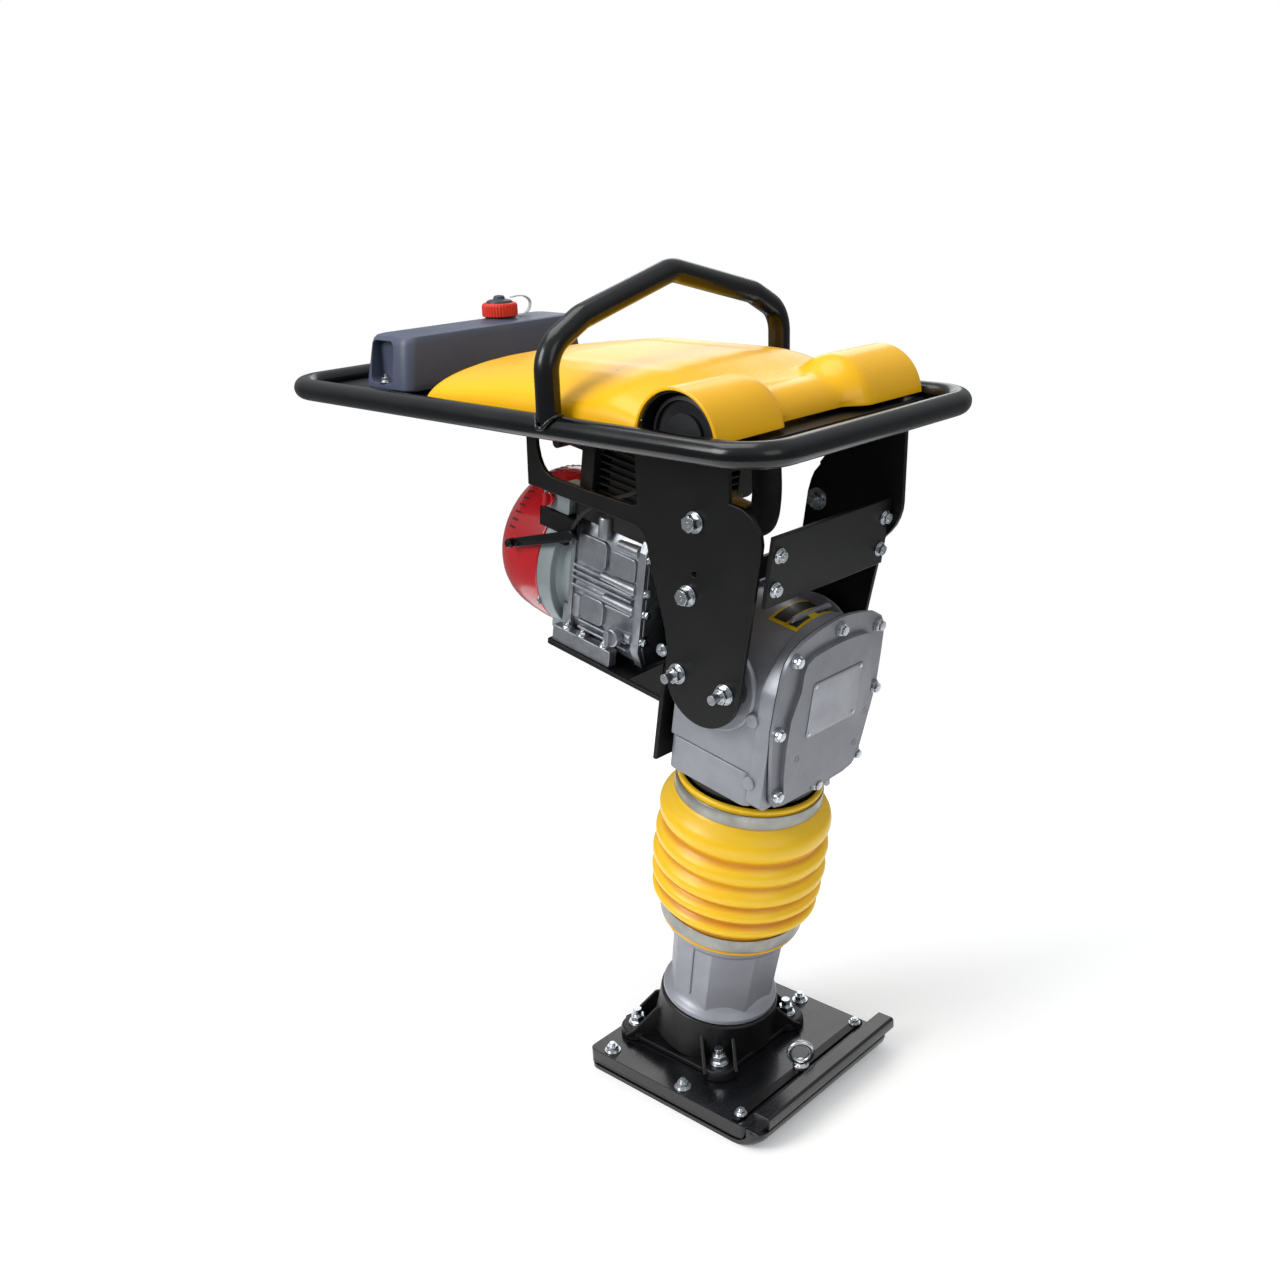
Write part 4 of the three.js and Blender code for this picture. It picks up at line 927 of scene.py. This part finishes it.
def filters():
    for way, side in ((-1, "near"), (1, "far")):
        profile = [(0, 100), (43, 100), (44, 102), (44, 170), (42, 174), (38, 175), (37, 171), (25, 170),
            (24, 174), (12, 175), (0, 175)]
        points, faces = turned([(r, way * t) for r, t in profile], "y", 105, 4, 64)
        points = [(x, y, max(z, -1.6)) for x, y, z in points]
        piece(f"filter_canister_{side}", shape((points, faces)), BLACK_PLASTIC, [f"filter_can_{side}"],
            place=HANDLE, edge=0.8)
        # Painted shade: a black disc behind the canister and a black lining inside the hood's tunnel stand for the
        # shade round the canister.
        shade = [onto("y", 105 + 52.4 * math.cos(w), max(52.4 * math.sin(w), -1.6),
            0) for w in (math.tau * i / 64 for i in range(64))]
        low, high = sorted((way * 112, way * 116))
        back = prism([(x, z) for x, _, z in shade], "y", low, high)
        arch = [[(105 + r * math.cos(w), way * y, r * math.sin(w)) for r,
            y in ((52.6, 114), (52.6, 184), (50.6, 184), (50.6, 114))] for w in (math.radians(2
            + 176 * i / 48) for i in range(49))]
        piece(f"tunnel_painted_shade_{side}", shape(back, skin(arch)), BLACK_PLASTIC, place=HANDLE, edge=0.4)


# ---------------------------------------------------------------- engine
ENGINE_AXIS = 642                   # height of the crankshaft along the leg


def engine_base():
    tray = sheet_metal(rounded(-272, -70, -105, 105, 6), [circle(-170, 0, 30)], "z", 549, 555, 0.9)
    wall = sheet_metal([(-105, 470), (105, 470), (105, 560), (98, 640), (80, 699), (-80, 699), (-98, 640),
        (-105, 560)], [circle(0, ENGINE_AXIS, 48)], "x", -74, -68, 0.9)
    webs = [prism([(-74, 555), (-128, 555), (-74, 600)], "y", y - 2.5, y + 2.5) for y in (-101, 101)]
    piece("engine_tray", merged(tray, wall, shape(*webs)), PLATE_BLACK, ["engine_base"], angle=16)
    bolts("tray_bolts", [((-74.2, y, s), (-1, 0, 0)) for y in (-88, 88) for s in (575, 615)], 13)


def engine():
    u0, u1 = -250, -122
    body = prism([(-80, 568), (80, 568), (88, 590), (90, 600), (90, 712), (82, 730), (68, 742), (-68, 742),
        (-82, 730), (-90, 712), (-90, 600), (-88, 590)], "x", u0, u1)
    flange = prism([(-84, 566), (84, 566), (96, 590), (96, 720), (84, 740), (-84, 740), (-96, 720),
        (-96, 590)], "x", u1 - 14, u1 - 1)
    back = prism([(-84, 566), (84, 566), (94, 590), (94, 718), (82, 739), (-82, 739), (-94, 718), (-94, 590)],
        "x", u0 + 1, u0 + 8)
    feet = [box(u0 - 15, -164, *sorted((way * 87, way * 101)), 555.3, 577) for way in (-1, 1)]
    bosses = []
    for s, reach in ((718, 34), (668, 58), (641, 52), (604, 26)):
        bosses.append(turned([(0, u1 - 14 - reach), (5.4, u1 - 14 - reach), (7.4, u1 - 13), (0, u1 - 13)],
            "x", -93, s, 24))
    bosses.append(turned([(0, 716), (8.4, 717), (8.4, 741), (7, 744), (0, 744)], "z", -196, -92, 28))
    bosses.append(turned([(0, 600), (6.4, 600), (6.4, 630), (0, 632)], "z", -232, -92, 24))
    pads = [prism(rounded(-236, -188, 676, 712, 7), "y", -95.4, -88), prism(rounded(-226, -186, 600, 634, 8),
        "y", -95.4, -88), prism(rounded(-182, -140, 676, 706, 6), "y", -94.4, -88)]
    long_ribs = [box(a, b, -97.4, -88, s - 1.7, s + 1.7) for s, a, b in ((668, -242, -182), (660, -242, -140),
        (652, -242, -140), (641, -242, -178), (633, -182, -140), (597, -226, -142), (588, -226, -142))]
    block = shape(body, flange, back, *feet, *bosses, *pads, *long_ribs)
    far = ribs(8, (-188, 94, 608), (0, 0, 15), (110, 9, 4), ALLOY)
    piece("engine_crankcase", merged(block, far), ALLOY, ["engine_block"], edge=1.3, angle=30)
    bolts("crankcase_bolts", [((u1 - 0.9, y, s), (1, 0, 0)) for y in (-88, 88) for s in (604, 641, 668, 712)],
        10, reach=0.5)
    bolts("foot_bolts", [((u, way * 94, 577.2), (0, 0, 1)) for u in (-218, -180) for way in (-1,
        1)] + [((-245, -94, 577.2), (0, 0, 1)), ((-170, -95.4, 595), (0, -1, 0))], 12, reach=3)
    bolts("tray_side_bolt", [((-80, -101, 615), (0, -1, 0))], 11, reach=1, washer=8)
    bracket = shape(box(-297, -229, -104, -60, 724, 727.4), box(-297, -229, -104, -101, 704, 727.4),
        box(-266, -250, -104, -96, 690, 706))
    # Painted shade, in part: the black cowl over the crankcase's top is partly the engine's black cover and partly
    # stands for the shade under the hood, where the top would otherwise catch a highlight.
    roof = shape(box(-251, -123, -89, 89, 727, 748), box(-292, -254, -40, 60, 744, 774),
        prism(rounded(-74, 74, 746, 826, 18), "x", -262, -240))
    piece("cylinder_cowl", roof, HEAT_BLACK_AND_SHADE, edge=1.5)
    piece("control_bracket", bracket, PLATE_BLACK, edge=0.6)


def starter():
    r = 104
    ring = turned([(60, -298), (r - 1, -298), (r, -296.6), (r, -274.8), (r - 1, -273.4), (94, -273.4),
        (87, -268), (86, -253), (84, -252), (60, -252)], "x", 0, ENGINE_AXIS, 112)
    skirt = box(-297.8, -273.6, -70, 70, 553, 600)
    foot = box(-270, -258, -80, 80, 555.3, 600)
    shelf = prism(rounded(-298, -252, 728, 752, 3), "y", -99, -45)
    piece("fan_shroud", shape(ring, skirt, foot, shelf), FAN_GREY, ["fan_housing"], edge=1.8, angle=30)
    dome = turned([(0, -387), (30, -387.6), (44, -386), (50, -384.4), (64, -386.4), (80, -385), (88, -381),
        (92.6, -375), (97, -366), (100, -356), (102, -342), (103.6, -322), (103.9, -299.4), (102.4, -298.5),
        (0, -298.5)], "x", 0, ENGINE_AXIS, 128)
    tab = prism(rounded(-20, 20, 716, 753, 6), "x", -312, -298.8)
    piece("starter_cover", shape(dome, tab), ENGINE_RED, ["recoil_cover"], edge=1.6, angle=26)
    slots = []
    for i in range(60):
        turn = Matrix.Translation((0, 0, ENGINE_AXIS)) @ Matrix.Rotation(math.radians(3 + 6 * i), 4, "X")
        points, faces = prism([(-387.3, 64), (-384.9, 82), (-383, 82), (-384, 64)], "z", -1.5, 1.5)
        slots.append(([turn @ Vector(p) for p in points], faces))
        if math.sin(math.radians(3 + 6 * i)) < 0.3:
            continue
        points, faces = prism([(-364, 97.4), (-352, 100), (-352, 101), (-364, 98.6)], "z", -1.3, 1.3)
        slots.append(([turn @ Vector(p) for p in points], faces))
    piece("starter_vents", shape(*slots), BLACK_PLASTIC, edge=0.3)
    bolts("starter_screws", [((-298.2, 93 * math.cos(a) * 1.1, ENGINE_AXIS + 93 * math.sin(a) * 1.1),
        (-1, 0, 0)) for a in (0.5, 2.2, 3.6, 5.6)], 9, reach=0.3)
    grip = bar([(-362, -20, 776), (-362, 20, 776)], 7, 0, False, BLACK_PLASTIC, 24)
    stem = bar([(-362, 0, 776), (-330, 0, 776)], 4.5, 0, False, BLACK_PLASTIC, 20)
    piece("starter_grip", merged(grip, stem), BLACK_PLASTIC, ["recoil_grip"], body="recoil_grip", edge=1)
    rope = bar([(-331, 0, 776), (-316, 0, 772), (-304, 0, 750)], 2, 6, False, RUBBER, 12)
    piece("starter_rope", rope, RUBBER)


def top_end():
    core = prism(rounded(-234, -130, -56, 56, 8), "z", 742, 820)
    cap = prism(rounded(-224, -140, -42, 42, 12), "z", 820, 838)
    # Painted shade, in part: the cylinder and its fins are black partly as the engine's black covers and partly to
    # stand for the shade under the hood, seen through the side frame's window.
    fins = ribs(8, (-182, 0, 749), (0, 0, 9.4), (116, 128, 2.6), HEAT_BLACK_AND_SHADE)
    piece("cylinder_and_fins", merged(shape(core, cap), fins), HEAT_BLACK_AND_SHADE, ["cylinder"],
        edge=0.8)
    can = prism(rounded(70, 106, 752, 834, 14), "x", -236, -128)
    seam = prism(rounded(68.6, 107.4, 750.6, 835.4, 15), "x", -184, -180)
    spout = turned([(5, -262), (9, -262), (9, -235), (5, -235)], "x", 88, 800, 32)
    piece("silencer", shape(can, seam, spout), HEAT_BLACK_AND_SHADE, ["muffler"], edge=1.5)
    bowl = turned([(0, 728), (14, 729), (19, 734), (20, 741), (20, 753), (0, 753)], "z", -95, -12, 40)
    body = [box(-116, -74, -34, 10, 752, 790), turned([(0, -124), (20, -124), (20, -116), (0, -116)], "x",
        -12, 774, 40), turned([(0, -74), (19, -74), (19, -42), (0, -42)], "x", -12, 774, 40)]
    piece("carburettor_body", shape(bowl, *body), ALLOY, ["carburettor"], edge=1.2)
    path = smooth_line([(-39.2, -12, 774), (-31, -14, 774.2), (-23, -17, 779), (-18, -20, 788),
        (-16, -22, 802), (-17, -23, 822), (-21, -25, 850), (-27, -27, 880)], 4)
    duct = bar(path, 17, 0, False, RUBBER, 32)
    rings = [bar([tuple(Vector(path[i]) + Vector(d) * 18) for d in [(0, math.cos(a),
        math.sin(a)) for a in (2 * math.pi * k / 32 for k in range(32))]], 1.6, 0, True, BAND_STEEL,
        8) for i in (2,)]
    piece("intake_duct", duct, RUBBER, ["air_duct"], angle=60)
    piece("duct_clip", merged(*rings), BAND_STEEL, angle=60)
    drum = turned([(24, -120), (60, -120), (65, -117), (66.5, -112), (66.5, -84), (64, -78), (60, -74.4),
        (24, -74.4)], "x", 0, ENGINE_AXIS, 80)
    lugs = [box(-112, -76, 62, 65.8, 634, 650), box(-112, -76, -65.8, -62, 634, 650)]
    piece("clutch_drum_housing", shape(drum, *lugs), POWDER, ["clutch_housing"], edge=1.4)


def engine_trim():
    arm = sheet_metal([(-236, 717), (-230, 709), (-236, 702), (-338, 660), (-345, 664), (-341, 671)],
        [circle(-332, 667, 2, 12)], "y", -110, -107.4, 0.4)
    hub = shape(turned([(0, -112), (6.5, -112), (8, -110.5), (8, -104), (0, -104)], "y", -238, 709, 32),
        turned([(0, -117), (4.6, -117), (6, -115), (6, -106), (0, -106)], "y", -341, 665, 28))
    piece("throttle_arm", merged(arm, hub), POWDER, ["throttle_lever"], body="throttle_lever",
        edge=0.5)
    choke = shape(box(-100, -94, -60, -40.4, 768, 774), box(-100, -94, -63.6, -60, 764, 794))
    piece("choke_arm", choke, POWDER, ["choke_lever"], body="choke_lever", edge=0.8)
    knob = shape(turned([(0, -106), (8, -106), (9, -104.8), (9, -100.3), (0, -100.3)], "y", -284, 742, 36),
        box(-286.6, -281.4, -112, -105, 734, 750))
    piece("stop_switch", knob, ENGINE_RED, ["engine_switch"], body="engine_switch", edge=0.9)
    plug = shape(turned([(0, -112), (10.5, -112), (12, -110.5), (12, -101), (10, -99.4), (0, -99.4)], "y",
        -156, 603, 40), box(-158.6, -153.4, -118, -111, 593, 613))
    piece("oil_filler_cap", plug, ALLOY, ["oil_cap"], body="oil_cap", edge=0.8)
    boot = shape(turned([(0, -123.6), (9, -123.6), (9, -113), (0, -113)], "x", 0, 806, 28),
        turned([(0, 800), (8, 800), (8, 826), (5, 828), (0, 828)], "z", -116, 0, 28))
    piece("spark_plug_boot", boot, RUBBER, ["spark_cap"], edge=1)
    lead = bar(smooth_line([(-116, 0, 827), (-118, -8, 840), (-140, -50, 844), (-200, -66, 836),
        (-250, -58, 800), (-270, -44, 768)], 6), 3.2, 0, False, RUBBER, 16)
    cable = bar(smooth_line([(-238, -106, 716), (-226, -104, 738), (-200, -98, 762), (-150, -86, 790),
        (-110, -70, 820), (-60, -72, 848)], 6), 2.6, 0, False, RUBBER, 16)
    hose = bar(smooth_line([(-96, -36, 772), (-92, -52, 786), (-100, -70, 812), (-130, -78, 838),
        (-170, -80, 852)], 6), 3.6, 0, False, RUBBER, 16)
    piece("engine_leads", merged(lead, cable, hose), RUBBER, angle=60)


def mounts():
    for way, side in ((-1, "near"), (1, "far")):
        for i, (u, s) in enumerate(((-38, 607), (33, 610))):
            profile = [(0, way * 99.4), (15, way * 99.4), (18, way * 102), (16.4, way * 106), (18, way * 110),
                (15, way * 112.6), (0, way * 112.6)]
            piece(f"side_buffer_{side}_{i + 1}", shape(turned(profile, "y", u, s, 40)), RUBBER,
                [f"rubber_mount_{side}_{i + 1}"], edge=0.6)


# ---------------------------------------------------------------- what stays as it is
def dress_inner_parts():
    looks = {"spring_tube": SOLE_STEEL, "lower_spring": SPRING_STEEL, "upper_spring": SPRING_STEEL,
        "guide_tube": BLACK_PLASTIC, "piston": GEAR_STEEL, "crank_gear": GEAR_STEEL, "pinion": GEAR_STEEL,
        "con_rod": GEAR_STEEL, "shaft_bearing": GEAR_STEEL}
    for name, material in looks.items():
        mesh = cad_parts[name].data
        mesh.materials.clear()
        mesh.materials.append(material)


# ---------------------------------------------------------------- studio
def studio():
    """The camera sees plain white round a small floor; the sky that lights the piece fades towards the horizon."""
    scene = bpy.context.scene
    floor_radius, floor_glow = 1.3, 0.2
    world = bpy.data.worlds.new("studio")
    world.use_nodes = True
    tree = world.node_tree
    tree.nodes.clear()
    up = add(tree, "ShaderNodeSeparateXYZ", None, {0: add(tree,
        "ShaderNodeTexCoord").outputs["Generated"]}).outputs["Z"]
    sky = add(tree, "ShaderNodeMapRange", {"From Min": -0.1, "From Max": 0.9, "To Min": 0.22, "To Max": 0.66},
        {"Value": up}, interpolation_type="SMOOTHSTEP").outputs["Result"]
    light = add(tree, "ShaderNodeBackground", {"Color": (0.96, 0.98, 1, 1)}, {"Strength": sky})
    white = add(tree, "ShaderNodeBackground", {"Color": (1, 1, 1, 1), "Strength": 1.0})
    seen = add(tree, "ShaderNodeLightPath").outputs["Is Camera Ray"]
    both = add(tree, "ShaderNodeMixShader", None, {0: seen, 1: light.outputs[0], 2: white.outputs[0]})
    add(tree, "ShaderNodeOutputWorld", None, {"Surface": both.outputs[0]})
    scene.world = world
    floor = mesh_of(*skin([[(r * math.cos(w), r * math.sin(w), 0) for w in (math.tau * i / 64
        for i in range(64))] for r in (0.01, floor_radius)], caps=False))
    ground = bpy.data.objects.new("floor", floor)
    next(n for n in PAPER.node_tree.nodes
        if n.type == "BSDF_PRINCIPLED").inputs["Emission Strength"].default_value = floor_glow
    floor.materials.append(PAPER)
    bpy.context.collection.objects.link(ground)
    lamps = (("key", (-1.1, -2.7, 2.4), 1.5, 60), ("top", (-0.5, -0.3, 3.1), 1.8, 30),
        ("front", (2.8, -0.6, 1.9), 1.4, 9), ("back", (-1.8, 2.4, 2.0), 1.6, 12))
    for name, where, size, power in lamps:
        data = bpy.data.lights.new(name, "AREA")
        data.size = size
        data.energy = power
        lamp = bpy.data.objects.new(name, data)
        aim = Vector((-0.1, 0, 0.6)) - Vector(where)
        lamp.matrix_world = Matrix.Translation(where) @ aim.to_track_quat("-Z", "Y").to_matrix().to_4x4()
        bpy.context.collection.objects.link(lamp)
    scene.view_settings.view_transform = "Standard"


shoe()
eye()
foot_casting()
leg_casting()
bellows()
hose_clamp("lower_hose_clamp", 234, 252, "foot", "lower_clamp")
hose_clamp("upper_hose_clamp", 420, 438, "machine", "upper_clamp")
drive_case()
case_cover()
dome_decal()
side_plates()
handle()
tank()
fuel_cap()
hood()
filters()
engine_base()
engine()
starter()
top_end()
engine_trim()
mounts()
dress_inner_parts()
studio()
